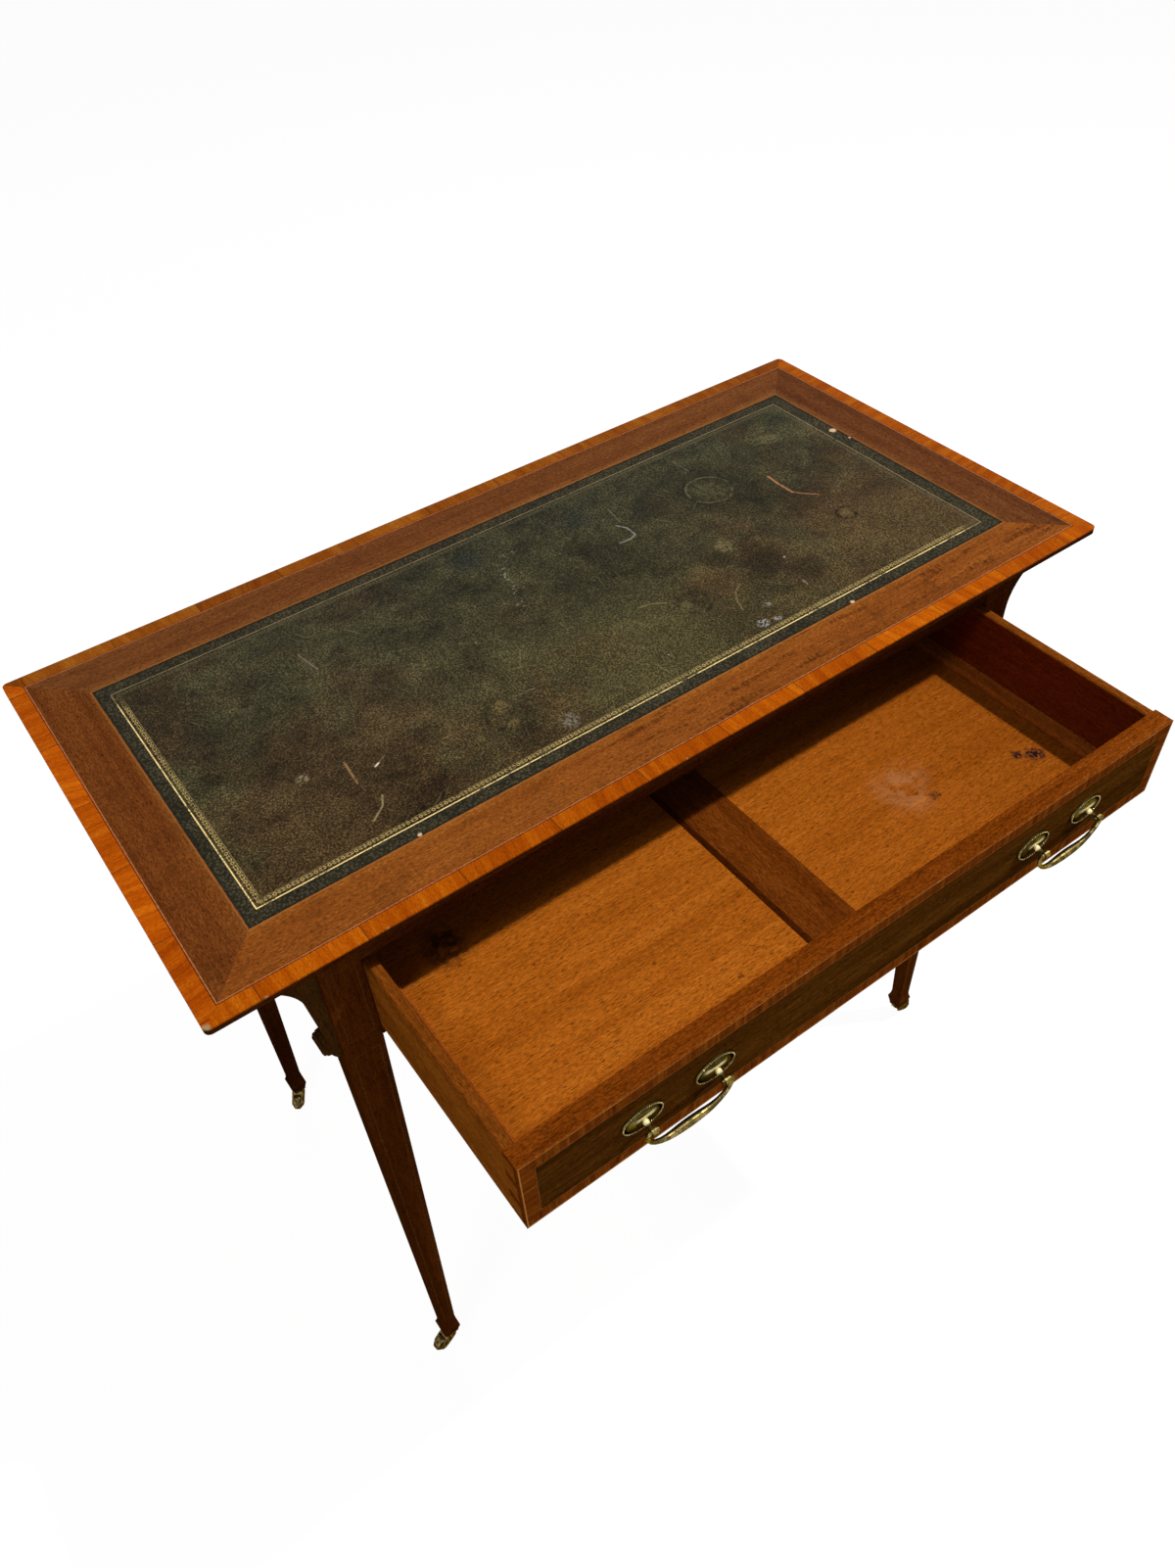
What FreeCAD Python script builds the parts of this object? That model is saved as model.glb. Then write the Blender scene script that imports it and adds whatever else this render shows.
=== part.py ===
import FreeCAD
import Part
import math
import os
from FreeCAD import Vector

os.makedirs("parts", exist_ok=True)

# Overall size, in millimetres
desk_width = 914.0
desk_depth = 446.0
desk_height = 775.0
end_overhang = 86.0
front_overhang = 19.0

# Top: ground panel, veneers and leather
top_thickness = 16.0
top_lip_height = 6.5
top_corner_radius = 5.0
veneer_thickness = 1.5
crossband_width = 14.8
stringing_width = 1.8
border_width = 44.3
leather_thickness = 1.2

# Legs with spade feet
leg_width = 34.0
ankle_width = 16.0
shoulder_width = 21.0
foot_width = 15.0
flare_height = 13.0
shoulder_band_height = 2.0
spade_height = 14.0

# Brackets under the end overhangs
bracket_thickness = 18.0
bracket_setback = 8.0
bracket_reach = 62.5
bracket_tip_height = 11.0
bracket_waist_width = 12.6
bracket_waist_drop = 62.0
bracket_neck_width = 7.4
bracket_neck_drop = 109.0
bracket_ear_reach = 14.8
bracket_ear_height = 16.7
bracket_tail_width = 8.0
bracket_tail_height = 11.5
ear_crown_share = 0.5
ear_reed_radius = 0.9
ear_reed_shares = (0.2, 0.4, 0.6, 0.8)
tail_mid_shares = (0.61, 0.55)

# Rails and their tenons
rail_thickness = 18.0
rail_setback = 2.5
front_setback = 1.0
upper_rail_height = 27.5
upper_rail_depth = 24.0
lower_rail_height = 11.2
lower_rail_depth = 30.0
tenon_length = 14.0
tenon_thickness = 8.0
tenon_haunch = 12.0
tenon_edge = 2.0

# Drawer carcase inside the frame
runner_bearing = 14.0
guide_height = 12.0
cleat_depth = 20.0
stop_width = 40.0
stop_length = 12.0
stop_height = 8.0
stop_offset = 150.0
stop_gap = 0.3
screw_radius = 2.2
screw_head_radius = 4.2
screw_head_height = 3.0
screw_sink = 9.0
screw_bite = 8.0
screw_gap = 0.15
screw_spread_share = 0.75

# Drawer
drawer_opening = 207.0
drawer_front_height = 87.0
drawer_front_thickness = 18.0
drawer_veneer = 1.0
drawer_band_width = 13.0
drawer_lap = 5.0
drawer_running_gap = 0.3
drawer_side_gap = 1.0
drawer_top_gap = 1.0
drawer_back_gap = 18.0
side_thickness = 10.5
side_top_drop = 1.5
side_round = 3.0
back_thickness = 10.0
back_top_drop = 5.0
panel_thickness = 6.0
panel_level = 15.5
panel_groove = 6.0
slip_width = 15.5
slip_height = 21.5
slip_round = 4.0
muntin_width = 54.0
muntin_rise = 4.0
muntin_depth = 16.0
tail_count = 3
tail_root_share = 0.58
tail_end_share = 0.74

# Handles
handle_offset = 202.8
handle_lift = 1.0
post_spacing = 65.6
rose_width = 37.0
rose_breadth = 25.0
rose_rise = 3.5
rose_size_shares = (1.0, 1.0, 0.95, 0.9, 0.85, 0.72, 0.55, 0.35)
rose_rise_shares = (0.0, 0.35, 0.6, 0.35, 0.42, 0.72, 0.92, 1.0)
post_ball_radius = 2.7
post_ball_rise = 1.4
post_shaft_radius = 1.8
post_reach = 13.6
post_eye_radius = 3.3
post_eye_width = 4.6
rod_radius = 2.0
rod_gap = 0.1
rod_stub = 1.0
nut_radius = 5.0
nut_thickness = 4.0
pin_fit = 0.05
pin_tail = 4.0
bail_wire_radius = 1.9
bail_belly_radius = 3.55
bail_belly_half = 34.0
bail_side_gap = 0.2
bail_bend_radius = 2.8
bail_drop = 23.0
bail_corner_width = 23.0
belly_steps = 3
corner_steps = 6
bend_steps = 4

# Castors
wheel_diameter = 20.0
wheel_width = 9.0
wheel_edge_bevel = 1.8
wheel_hub_radius = 4.5
wheel_dish_radius = 7.6
wheel_dish_depth = 0.8
wheel_side_gap = 0.4
wheel_top_gap = 0.3
axle_radius = 2.0
axle_head_radius = 3.2
axle_head_height = 0.8
castor_trail = 14.0
cheek_thickness = 2.0
cheek_end_radius = 5.5
cheek_front_drop = 3.5
crown_radius = 6.9
crown_thickness = 3.0
swivel_gap = 0.3
spindle_radius = 2.5
rivet_radius = 4.0
rivet_height = 1.8
plate_thickness = 2.0
castor_turns = {
    "front_left": 188.0,
    "front_right": 4.0,
    "back_left": 232.0,
    "back_right": 150.0,
}

# Length by which every cutting body runs past the face that it cuts
overrun = 2.0

# Levels, from the floor
underside = desk_height - top_thickness
ground_top = desk_height - veneer_thickness
opening_top = underside - upper_rail_height
drawer_top = opening_top - drawer_top_gap
drawer_bottom = drawer_top - drawer_front_height
runner_top = drawer_bottom - drawer_running_gap
block_bottom = runner_top - lower_rail_height
crown_bottom = wheel_diameter + wheel_top_gap
crown_top = crown_bottom + crown_thickness
plate_bottom = crown_top + swivel_gap
castor_height = plate_bottom + plate_thickness
front_middle = (drawer_top + drawer_bottom) / 2
handle_level = front_middle + handle_lift
side_top = drawer_top - side_top_drop
back_top = side_top - back_top_drop
panel_top = drawer_bottom + panel_level
panel_bottom = panel_top - panel_thickness

# Planes across the width and the depth
half_width = desk_width / 2
half_depth = desk_depth / 2
leg_outer = half_width - end_overhang
leg_inner = leg_outer - leg_width
leg_front = half_depth - front_overhang
leg_back_of_front = leg_front - leg_width
end_rail_inner = leg_outer - rail_setback - rail_thickness
back_rail_inner = leg_front - rail_setback - rail_thickness
closed_face = front_setback - leg_front
upper_rail_back = closed_face + upper_rail_depth
lower_rail_back = closed_face + lower_rail_depth
drawer_half = leg_inner - drawer_side_gap
drawer_inner = drawer_half - side_thickness
slip_inner = drawer_inner - slip_width
runner_inner = drawer_half - runner_bearing
drawer_face = closed_face - drawer_opening
drawer_front_back = drawer_face + drawer_front_thickness
drawer_end = back_rail_inner - drawer_back_gap - drawer_opening
foot_x = leg_outer - ankle_width / 2
foot_y = leg_front - ankle_width / 2


def box(x0, x1, y0, y1, z0, z1):
    return Part.makeBox(x1 - x0, y1 - y0, z1 - z0, Vector(x0, y0, z0))


def prism(points, sweep):
    return Part.Face(Part.makePolygon(points + points[:1])).extrude(sweep)


def line(first, last):
    return Part.makeLine(first, last)


def arc(first, middle, last):
    return Part.Arc(first, middle, last).toShape()


def oval(centre, along, up):
    if along.Length > up.Length:
        return Part.Ellipse(centre.add(along), centre.add(up), centre)
    return Part.Ellipse(centre.add(up), centre.add(along), centre)


def across(shape):
    return shape.mirror(Vector(0, 0, 0), Vector(1, 0, 0))


def behind(shape):
    return shape.mirror(Vector(0, 0, 0), Vector(0, 1, 0))


def joined(first, *others):
    return first.fuse(list(others)).removeSplitter()


def rod(radius, start, end):
    way = end.sub(start)
    return Part.makeCylinder(radius, way.Length, start, way)


def save(name, *solids):
    shape = solids[0] if len(solids) == 1 else Part.makeCompound(list(solids))
    shape.exportStep("parts/" + name + ".step")


def mitred_frame(half_a, half_b, width, place, sweep):
    outer = [(-half_a, -half_b), (half_a, -half_b), (half_a, half_b), (-half_a, half_b)]
    in_a = half_a - width
    in_b = half_b - width
    inner = [(-in_a, -in_b), (in_a, -in_b), (in_a, in_b), (-in_a, in_b)]
    strips = []
    for first in range(len(outer)):
        last = (first + 1) % len(outer)
        ring = [outer[first], outer[last], inner[last], inner[first]]
        strips.append(prism([place(a, b) for a, b in ring], sweep))
    return strips


def rounded_slab(z0, z1):
    slab = box(-half_width, half_width, -half_depth, half_depth, z0, z1)
    upright = [e for e in slab.Edges if e.BoundBox.XLength + e.BoundBox.YLength < e.BoundBox.ZLength]
    return slab.makeFillet(top_corner_radius, upright)


# Screws that hold the top, driven from below
def screw_places():
    front_y = (closed_face + upper_rail_back) / 2
    back_y = back_rail_inner - cleat_depth / 2
    end_x = (runner_inner + end_rail_inner) / 2
    spread_x = runner_inner * screw_spread_share
    places = [(x, y) for y in (front_y, back_y) for x in (-spread_x, spread_x)]
    return places + [(-end_x, 0), (end_x, 0)]


def screw(x, y, gap):
    seat = opening_top + screw_sink
    drop = overrun if gap else 0
    low = opening_top - drop if gap else seat - screw_head_height
    head = rod(screw_head_radius + gap, Vector(x, y, low), Vector(x, y, seat))
    shank = rod(screw_radius + gap, Vector(x, y, seat), Vector(x, y, underside + screw_bite))
    return joined(head, shank)


screws = [screw(x, y, 0) for x, y in screw_places()]
screw_holes = [screw(x, y, screw_gap) for x, y in screw_places()]


# Top
def top_panel():
    panel = rounded_slab(underside, ground_top)
    cove_radius = top_thickness - top_lip_height
    long_start = -half_width - overrun
    short_start = -half_depth - overrun
    for side in (-1, 1):
        y = side * half_depth
        x = side * half_width
        panel = panel.cut(rod(cove_radius, Vector(long_start, y, underside), Vector(-long_start, y, underside)))
        panel = panel.cut(rod(cove_radius, Vector(x, short_start, underside), Vector(x, -short_start, underside)))
    return panel.cut(screw_holes)


def top_place(x, y):
    return Vector(x, y, ground_top)


veneer_rise = Vector(0, 0, veneer_thickness)
skin = rounded_slab(ground_top, desk_height)
crossband = [s.common(skin) for s in mitred_frame(half_width, half_depth, crossband_width, top_place, veneer_rise)]
line_x = half_width - crossband_width
line_y = half_depth - crossband_width
border_x = line_x - stringing_width
border_y = line_y - stringing_width
stringing = box(-line_x, line_x, -line_y, line_y, ground_top, desk_height)
stringing = stringing.cut(box(-border_x, border_x, -border_y, border_y, ground_top, desk_height))
border = mitred_frame(border_x, border_y, border_width, top_place, veneer_rise)
leather_x = border_x - border_width
leather_y = border_y - border_width
leather = box(-leather_x, leather_x, -leather_y, leather_y, ground_top, ground_top + leather_thickness)

save("top_panel", top_panel())
save("top_crossband", *crossband)
save("top_stringing", stringing)
save("top_border", *border)
save("leather_skiver", leather)
save("top_screws", *screws)


# Rails with tenons at both ends
def end_rail():
    x0 = rail_setback - leg_outer
    x1 = -end_rail_inner
    middle = (x0 + x1) / 2
    reach = leg_back_of_front
    body = box(x0, x1, -reach, reach, block_bottom, underside)
    tongue = box(
        middle - tenon_thickness / 2,
        middle + tenon_thickness / 2,
        -reach - tenon_length,
        reach + tenon_length,
        block_bottom + tenon_haunch,
        underside - tenon_haunch,
    )
    return joined(body, tongue)


def cross_rail(y0, y1, z0, z1, inset):
    middle = (y0 + y1) / 2
    reach = leg_inner + tenon_length
    body = box(-leg_inner, leg_inner, y0, y1, z0, z1)
    half = tenon_thickness / 2
    tongue = box(-reach, reach, middle - half, middle + half, z0 + inset, z1 - inset)
    return joined(body, tongue)


end_rail_left = end_rail()
end_rail_right = across(end_rail_left)
back_rail = cross_rail(back_rail_inner, back_rail_inner + rail_thickness, block_bottom, underside, tenon_haunch)
upper_rail = cross_rail(closed_face, upper_rail_back, opening_top, underside, tenon_edge)
lower_rail = cross_rail(closed_face, lower_rail_back, block_bottom, runner_top, tenon_edge)
rails = [end_rail_left, end_rail_right, back_rail, upper_rail, lower_rail]

save("end_rail_left", end_rail_left)
save("end_rail_right", end_rail_right)
save("back_rail", back_rail)
save("front_rail_upper", upper_rail.cut(screw_holes))
save("front_rail_lower", lower_rail)


# Legs: straight outside, tapered inside, flared into a spade foot
def leg_face(place):
    reach = (shoulder_width - ankle_width) / 2
    outer_foot = (ankle_width - foot_width) / 2
    shoulder_low = castor_height + spade_height
    shoulder_high = shoulder_low + shoulder_band_height
    ankle_level = shoulder_high + flare_height
    flare_radius = (flare_height**2 + reach**2) / (2 * reach)
    half_turn = math.atan(reach / flare_height)
    mid_out = flare_radius * (1 - math.cos(half_turn))
    mid_level = ankle_level - flare_radius * math.sin(half_turn)
    inner = [
        place(0, underside),
        place(leg_width, underside),
        place(leg_width, block_bottom),
        place(ankle_width, ankle_level),
    ]
    foot = [
        place(ankle_width + reach, shoulder_high),
        place(ankle_width + reach, shoulder_low),
        place(ankle_width - outer_foot, castor_height),
        place(outer_foot, castor_height),
        place(-reach, shoulder_low),
        place(-reach, shoulder_high),
    ]
    edges = [line(a, b) for a, b in zip(inner, inner[1:])]
    edges.append(arc(inner[-1], place(ankle_width + mid_out, mid_level), foot[0]))
    edges += [line(a, b) for a, b in zip(foot, foot[1:])]
    outer_ankle = place(0, ankle_level)
    edges.append(arc(foot[-1], place(-mid_out, mid_level), outer_ankle))
    edges.append(line(outer_ankle, inner[0]))
    return Part.Face(Part.Wire(edges))


def leg():
    start = leg_width
    depth = 3 * leg_width

    def from_front(inward, level):
        return Vector(inward - leg_outer, -leg_front - start, level)

    def from_end(inward, level):
        return Vector(-leg_outer - start, inward - leg_front, level)

    one_way = leg_face(from_front).extrude(Vector(0, depth, 0))
    other_way = leg_face(from_end).extrude(Vector(depth, 0, 0))
    return one_way.common(other_way)


plain_leg = leg()
leg_solids = {
    "front_left": plain_leg,
    "front_right": across(plain_leg),
    "back_left": behind(plain_leg),
    "back_right": behind(across(plain_leg)),
}
for corner, solid in leg_solids.items():
    save("leg_" + corner, solid.cut(rails))


# Brackets: a hollow quarter-round arm, a tapering waist and a reeded scroll ear
def bracket():
    front = bracket_setback - leg_front

    def place(out, drop):
        return Vector(-leg_outer - out, front, underside - drop)

    ear_low = bracket_neck_drop + bracket_ear_height
    tip = place(bracket_reach, bracket_tip_height)
    waist = place(bracket_waist_width, bracket_waist_drop)
    centre = place(bracket_reach, bracket_waist_drop)
    neck = place(bracket_neck_width, bracket_neck_drop)
    crown = place(bracket_ear_reach, bracket_neck_drop + bracket_ear_height * ear_crown_share)
    tail_top = place(bracket_tail_width, ear_low)
    tail_mid = place(
        bracket_tail_width * tail_mid_shares[0],
        ear_low + bracket_tail_height * tail_mid_shares[1],
    )
    root = place(0, ear_low + bracket_tail_height)
    head = place(0, 0)
    arm_end = place(bracket_reach, 0)
    hollow = oval(centre, waist.sub(centre), tip.sub(centre))
    ear = arc(neck, crown, tail_top)
    edges = [
        line(head, arm_end),
        line(arm_end, tip),
        Part.ArcOfEllipse(hollow, 0, math.pi / 2).toShape(),
        line(waist, neck),
        ear,
        arc(tail_top, tail_mid, root),
        line(root, head),
    ]
    solid = Part.Face(Part.Wire(edges)).extrude(Vector(0, bracket_thickness, 0))
    start = Vector(0, -overrun, 0)
    end = Vector(0, bracket_thickness + overrun, 0)
    for share in ear_reed_shares:
        at = ear.valueAt(ear.FirstParameter + (ear.LastParameter - ear.FirstParameter) * share)
        solid = solid.cut(rod(ear_reed_radius, at.add(start), at.add(end)))
    return solid


bracket_front_left = bracket()
save("bracket_front_left", bracket_front_left)
save("bracket_front_right", across(bracket_front_left))
save("bracket_back_left", behind(bracket_front_left))
save("bracket_back_right", behind(across(bracket_front_left)))


# Runners with guides, kickers, cleat and stops, notched round the leg blocks
leg_block = box(-leg_outer, -leg_inner, -leg_front, -leg_back_of_front, block_bottom, underside)
leg_notches = [leg_block, behind(leg_block)]


def runner():
    section = [
        (end_rail_inner, block_bottom),
        (runner_inner, block_bottom),
        (runner_inner, runner_top),
        (leg_inner, runner_top),
        (leg_inner, runner_top + guide_height),
        (end_rail_inner, runner_top + guide_height),
    ]
    points = [Vector(-x, lower_rail_back, z) for x, z in section]
    bar = prism(points, Vector(0, back_rail_inner - lower_rail_back, 0))
    return bar.cut(leg_notches)


def kicker():
    bar = box(-end_rail_inner, -runner_inner, upper_rail_back, back_rail_inner, opening_top, underside)
    return bar.cut(leg_notches + screw_holes)


def stop():
    start = closed_face + drawer_front_thickness + stop_gap
    x0 = -stop_offset - stop_width / 2
    return box(x0, x0 + stop_width, start, start + stop_length, runner_top, runner_top + stop_height)


cleat_front = back_rail_inner - cleat_depth
cleat = box(-runner_inner, runner_inner, cleat_front, back_rail_inner, opening_top, underside)
runner_left = runner()
kicker_left = kicker()
stop_left = stop()
save("drawer_runner_left", runner_left)
save("drawer_runner_right", across(runner_left))
save("drawer_kicker_left", kicker_left)
save("drawer_kicker_right", across(kicker_left))
save("back_cleat", cleat.cut(screw_holes))
save("drawer_stops", stop_left, across(stop_left))


# Drawer: bottom, slips and muntin first, then the boards that they cut
def panel():
    x0 = -slip_inner - panel_groove
    x1 = panel_groove - muntin_width / 2
    return box(x0, x1, drawer_front_back - panel_groove, drawer_end, panel_bottom, panel_top)


panel_left = panel()
panels = [panel_left, across(panel_left)]


def slip():
    bar = box(
        -drawer_inner,
        -slip_inner,
        drawer_front_back,
        drawer_end,
        drawer_bottom,
        drawer_bottom + slip_height,
    )
    arris = [e for e in bar.Edges if e.BoundBox.XMin > -slip_inner - overrun and e.BoundBox.ZMin > panel_top]
    return bar.makeFillet(slip_round, arris).cut(panels)


def muntin():
    half = muntin_width / 2
    high = panel_top + muntin_rise
    low = high - muntin_depth
    section = [
        (-half, low),
        (half, low),
        (half, panel_top),
        (half - muntin_rise, high),
        (muntin_rise - half, high),
        (-half, panel_top),
    ]
    points = [Vector(x, drawer_front_back, z) for x, z in section]
    return prism(points, Vector(0, drawer_end - drawer_front_back, 0)).cut(panels)


slip_left = slip()
slip_right = across(slip_left)
centre_muntin = muntin()
save("drawer_bottom_left", panel_left)
save("drawer_bottom_right", across(panel_left))
save("drawer_slip_left", slip_left)
save("drawer_slip_right", slip_right)
save("drawer_muntin", centre_muntin)


# Dovetails: wedge-shaped tails on the drawer side, from a root plane to an end plane
def tails(y_root, y_end, z0, z1):
    pitch = (z1 - z0) / tail_count
    wedges = []
    for number in range(tail_count):
        middle = z0 + pitch * (number + 1 / 2)
        root = pitch * tail_root_share / 2
        end = pitch * tail_end_share / 2
        ring = [(y_root, -root), (y_root, root), (y_end, end), (y_end, -end)]
        points = [Vector(-drawer_half, y, middle + z) for y, z in ring]
        wedges.append(prism(points, Vector(side_thickness, 0, 0)))
    return wedges


back_face = drawer_end - back_thickness
front_tails = tails(drawer_front_back, drawer_face + drawer_lap, drawer_bottom, side_top)
slip_top = drawer_bottom + slip_height
back_tails = tails(back_face, drawer_end, slip_top, back_top)
back_pins = box(-drawer_half, -drawer_inner, back_face, drawer_end, slip_top, back_top).cut(back_tails)


def drawer_side():
    board = box(-drawer_half, -drawer_inner, drawer_front_back, drawer_end, drawer_bottom, side_top)
    arrises = [e for e in board.Edges if e.BoundBox.ZMin > back_top and e.BoundBox.YLength > side_thickness]
    arrises = [e for e in arrises if e.BoundBox.XLength < e.BoundBox.YLength]
    board = board.makeFillet(side_round, arrises)
    return joined(board, *front_tails).cut(back_pins)


def drawer_back():
    board = box(-drawer_inner, drawer_inner, back_face, drawer_end, panel_top, back_top)
    board = joined(board, back_pins, across(back_pins))
    return board.cut([slip_left, slip_right, centre_muntin])


def post_places():
    middles = (-handle_offset, handle_offset)
    return [middle + side * post_spacing / 2 for middle in middles for side in (-1, 1)]


def face_point(x, out):
    return Vector(x, drawer_face - out, handle_level)


def rod_hole(x):
    return rod(rod_radius + rod_gap, face_point(x, overrun), face_point(x, -drawer_front_thickness - overrun))


rod_holes = [rod_hole(x) for x in post_places()]
core_face = drawer_face + drawer_veneer
drawer_core = box(-drawer_half, drawer_half, core_face, drawer_front_back, drawer_bottom, drawer_top)
drawer_core = drawer_core.cut(front_tails + [across(t) for t in front_tails] + panels + rod_holes)


def front_place(x, z):
    return Vector(x, drawer_face, front_middle + z)


front_half = drawer_front_height / 2
front_band = mitred_frame(drawer_half, front_half, drawer_band_width, front_place, Vector(0, drawer_veneer, 0))
field_x = drawer_half - drawer_band_width
field_z = front_half - drawer_band_width
front_field = box(
    -field_x,
    field_x,
    drawer_face,
    core_face,
    front_middle - field_z,
    front_middle + field_z,
)
side_left = drawer_side()
save("drawer_front", drawer_core)
save("drawer_front_field", front_field.cut(rod_holes))
save("drawer_front_crossband", *front_band)
save("drawer_side_left", side_left)
save("drawer_side_right", across(side_left))
save("drawer_back", drawer_back())


# Handles: oval roses, turned posts with flattened eyes, swan-neck bails
def rose(x):
    rings = []
    for size_share, rise_share in zip(rose_size_shares, rose_rise_shares):
        along = Vector(rose_width * size_share / 2, 0, 0)
        up = Vector(0, 0, rose_breadth * size_share / 2)
        rings.append(Part.Wire([oval(face_point(x, rose_rise * rise_share), along, up).toShape()]))
    bore = rod(rod_radius + rod_gap, face_point(x, -overrun), face_point(x, rose_rise + overrun))
    return Part.makeLoft(rings, True, True).cut(bore)


def post(x):
    def place(radius, out):
        return Vector(x + radius, drawer_face - out, handle_level)

    inside = -drawer_front_thickness - nut_thickness - rod_stub
    ball = rose_rise + post_ball_rise
    ball_foot = math.sqrt(post_ball_radius**2 - post_ball_rise**2)
    ball_half = math.sqrt(post_ball_radius**2 - post_shaft_radius**2)
    line_points = [
        place(0, inside),
        place(rod_radius, inside),
        place(rod_radius, rose_rise),
        place(ball_foot, rose_rise),
    ]
    ball_end = place(post_shaft_radius, ball + ball_half)
    shaft_end = place(post_shaft_radius, post_reach)
    edges = [line(a, b) for a, b in zip(line_points, line_points[1:])]
    edges += [
        arc(line_points[-1], place(post_ball_radius, ball), ball_end),
        line(ball_end, shaft_end),
        line(shaft_end, place(0, post_reach)),
        line(place(0, post_reach), line_points[0]),
    ]
    stem = Part.Face(Part.Wire(edges)).revolve(face_point(x, 0), Vector(0, 1, 0), 360)
    flat = post_eye_width / 2
    far = flat + overrun
    eye = rod(post_eye_radius, place(-flat, post_reach), place(flat, post_reach))
    bore = rod(bail_wire_radius + pin_fit, place(-far, post_reach), place(far, post_reach))
    return joined(stem, eye).cut(bore)


def nut(x):
    corners = []
    for number in range(6):
        turn = number * math.pi / 3
        corners.append(
            Vector(x + nut_radius * math.cos(turn), drawer_front_back, handle_level + nut_radius * math.sin(turn))
        )
    block = prism(corners, Vector(0, nut_thickness, 0))
    hole = rod(rod_radius + pin_fit, face_point(x, 0), face_point(x, -drawer_front_thickness - nut_thickness - overrun))
    return block.cut(hole)


# Half a bail from the middle of its belly to the end of its pin, as way out, drop, turn and wire radius
def half_bail():
    bend_start = post_spacing / 2 + post_eye_width / 2 + bail_side_gap
    bend = bail_bend_radius
    corner_start = bend_start + bend - bail_corner_width
    corner_drop = bail_drop - bend
    stations = []

    def add(out, drop, way_out, way_down, radius):
        stations.append((out, drop, math.degrees(math.atan2(way_down, way_out)), radius))

    def belly(out):
        share = min(1, out / bail_belly_half)
        return bail_wire_radius + (bail_belly_radius - bail_wire_radius) * (1 - share**2) ** 2

    for number in range(belly_steps):
        out = corner_start * number / belly_steps
        add(out, bail_drop, 1, 0, belly(out))
    for number in range(corner_steps):
        turn = math.pi / 2 * number / corner_steps
        out = corner_start + bail_corner_width * math.sin(turn)
        drop = bend + corner_drop * math.cos(turn)
        add(out, drop, bail_corner_width * math.cos(turn), -corner_drop * math.sin(turn), belly(out))
    for number in range(bend_steps + 1):
        turn = math.pi / 2 * number / bend_steps
        out = bend_start + bend * math.cos(turn)
        add(out, bend - bend * math.sin(turn), -math.sin(turn), -math.cos(turn), bail_wire_radius)
    add(post_spacing / 2 - pin_tail, 0, -1, 0, bail_wire_radius)
    return stations


def bail(middle):
    half = half_bail()
    stations = [(-out, drop, -turn, radius) for out, drop, turn, radius in half[:0:-1]] + half
    rings = []
    for out, drop, turn, radius in stations:
        ring = Part.Wire([Part.Circle(Vector(0, 0, 0), Vector(1, 0, 0), radius).toShape()])
        ring.rotate(Vector(0, 0, 0), Vector(0, 1, 0), turn)
        ring.translate(Vector(middle + out, drawer_face - post_reach, handle_level - drop))
        rings.append(ring)
    return Part.makeLoft(rings, True, True)


bail_left = bail(-handle_offset)
save("handle_roses", *[rose(x) for x in post_places()])
save("handle_posts", *[post(x) for x in post_places()])
save("handle_nuts", *[nut(x) for x in post_places()])
save("handle_bail_left", bail_left)
save("handle_bail_right", across(bail_left))


# Castors: built with the wheel trailing along X, then turned to the rest direction
def tangent_angle(out, level, side):
    axle_level = wheel_diameter / 2
    away = math.hypot(out - castor_trail, level - axle_level)
    bearing = math.atan2(level - axle_level, out - castor_trail)
    return bearing + side * math.acos(cheek_end_radius / away)


def fork():
    axle_level = wheel_diameter / 2
    slot = wheel_width / 2 + wheel_side_gap
    outside = slot + cheek_thickness
    front_level = crown_bottom - cheek_front_drop
    high_turn = tangent_angle(crown_radius, crown_top, -1)
    low_turn = tangent_angle(-crown_radius, front_level, 1)

    def place(out, level):
        return Vector(out, -outside, level)

    def round_end(turn):
        return place(
            castor_trail + cheek_end_radius * math.cos(turn),
            axle_level + cheek_end_radius * math.sin(turn),
        )

    high = round_end(high_turn)
    low = round_end(low_turn)
    front_low = place(-crown_radius, front_level)
    front_high = place(-crown_radius, crown_top)
    back_high = place(crown_radius, crown_top)
    edges = [
        line(front_high, back_high),
        line(back_high, high),
        arc(high, round_end((high_turn + low_turn) / 2 - math.pi), low),
        line(low, front_low),
        line(front_low, front_high),
    ]
    solid = Part.Face(Part.Wire(edges)).extrude(Vector(0, 2 * outside, 0))
    far = castor_trail + wheel_diameter
    solid = solid.cut(box(-far, far, -slot, slot, 0, crown_bottom))
    rounding = Part.makeCylinder(max(crown_radius, outside), crown_top)
    rounding = rounding.fuse(box(0, far, -outside, outside, 0, crown_top))
    solid = solid.common(rounding)
    solid = solid.cut(rod(spindle_radius + pin_fit, Vector(0, 0, 0), Vector(0, 0, crown_top + overrun)))
    reach = outside + overrun
    axle_hole = rod(
        axle_radius + pin_fit,
        Vector(castor_trail, -reach, axle_level),
        Vector(castor_trail, reach, axle_level),
    )
    return solid.cut(axle_hole)


def axle():
    axle_level = wheel_diameter / 2
    outside = wheel_width / 2 + wheel_side_gap + cheek_thickness
    head_end = outside + axle_head_height

    def at(y):
        return Vector(castor_trail, y, axle_level)

    pin = rod(axle_radius, at(-outside), at(outside))
    heads = [rod(axle_head_radius, at(side * outside), at(side * head_end)) for side in (-1, 1)]
    return joined(pin, *heads)


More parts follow.
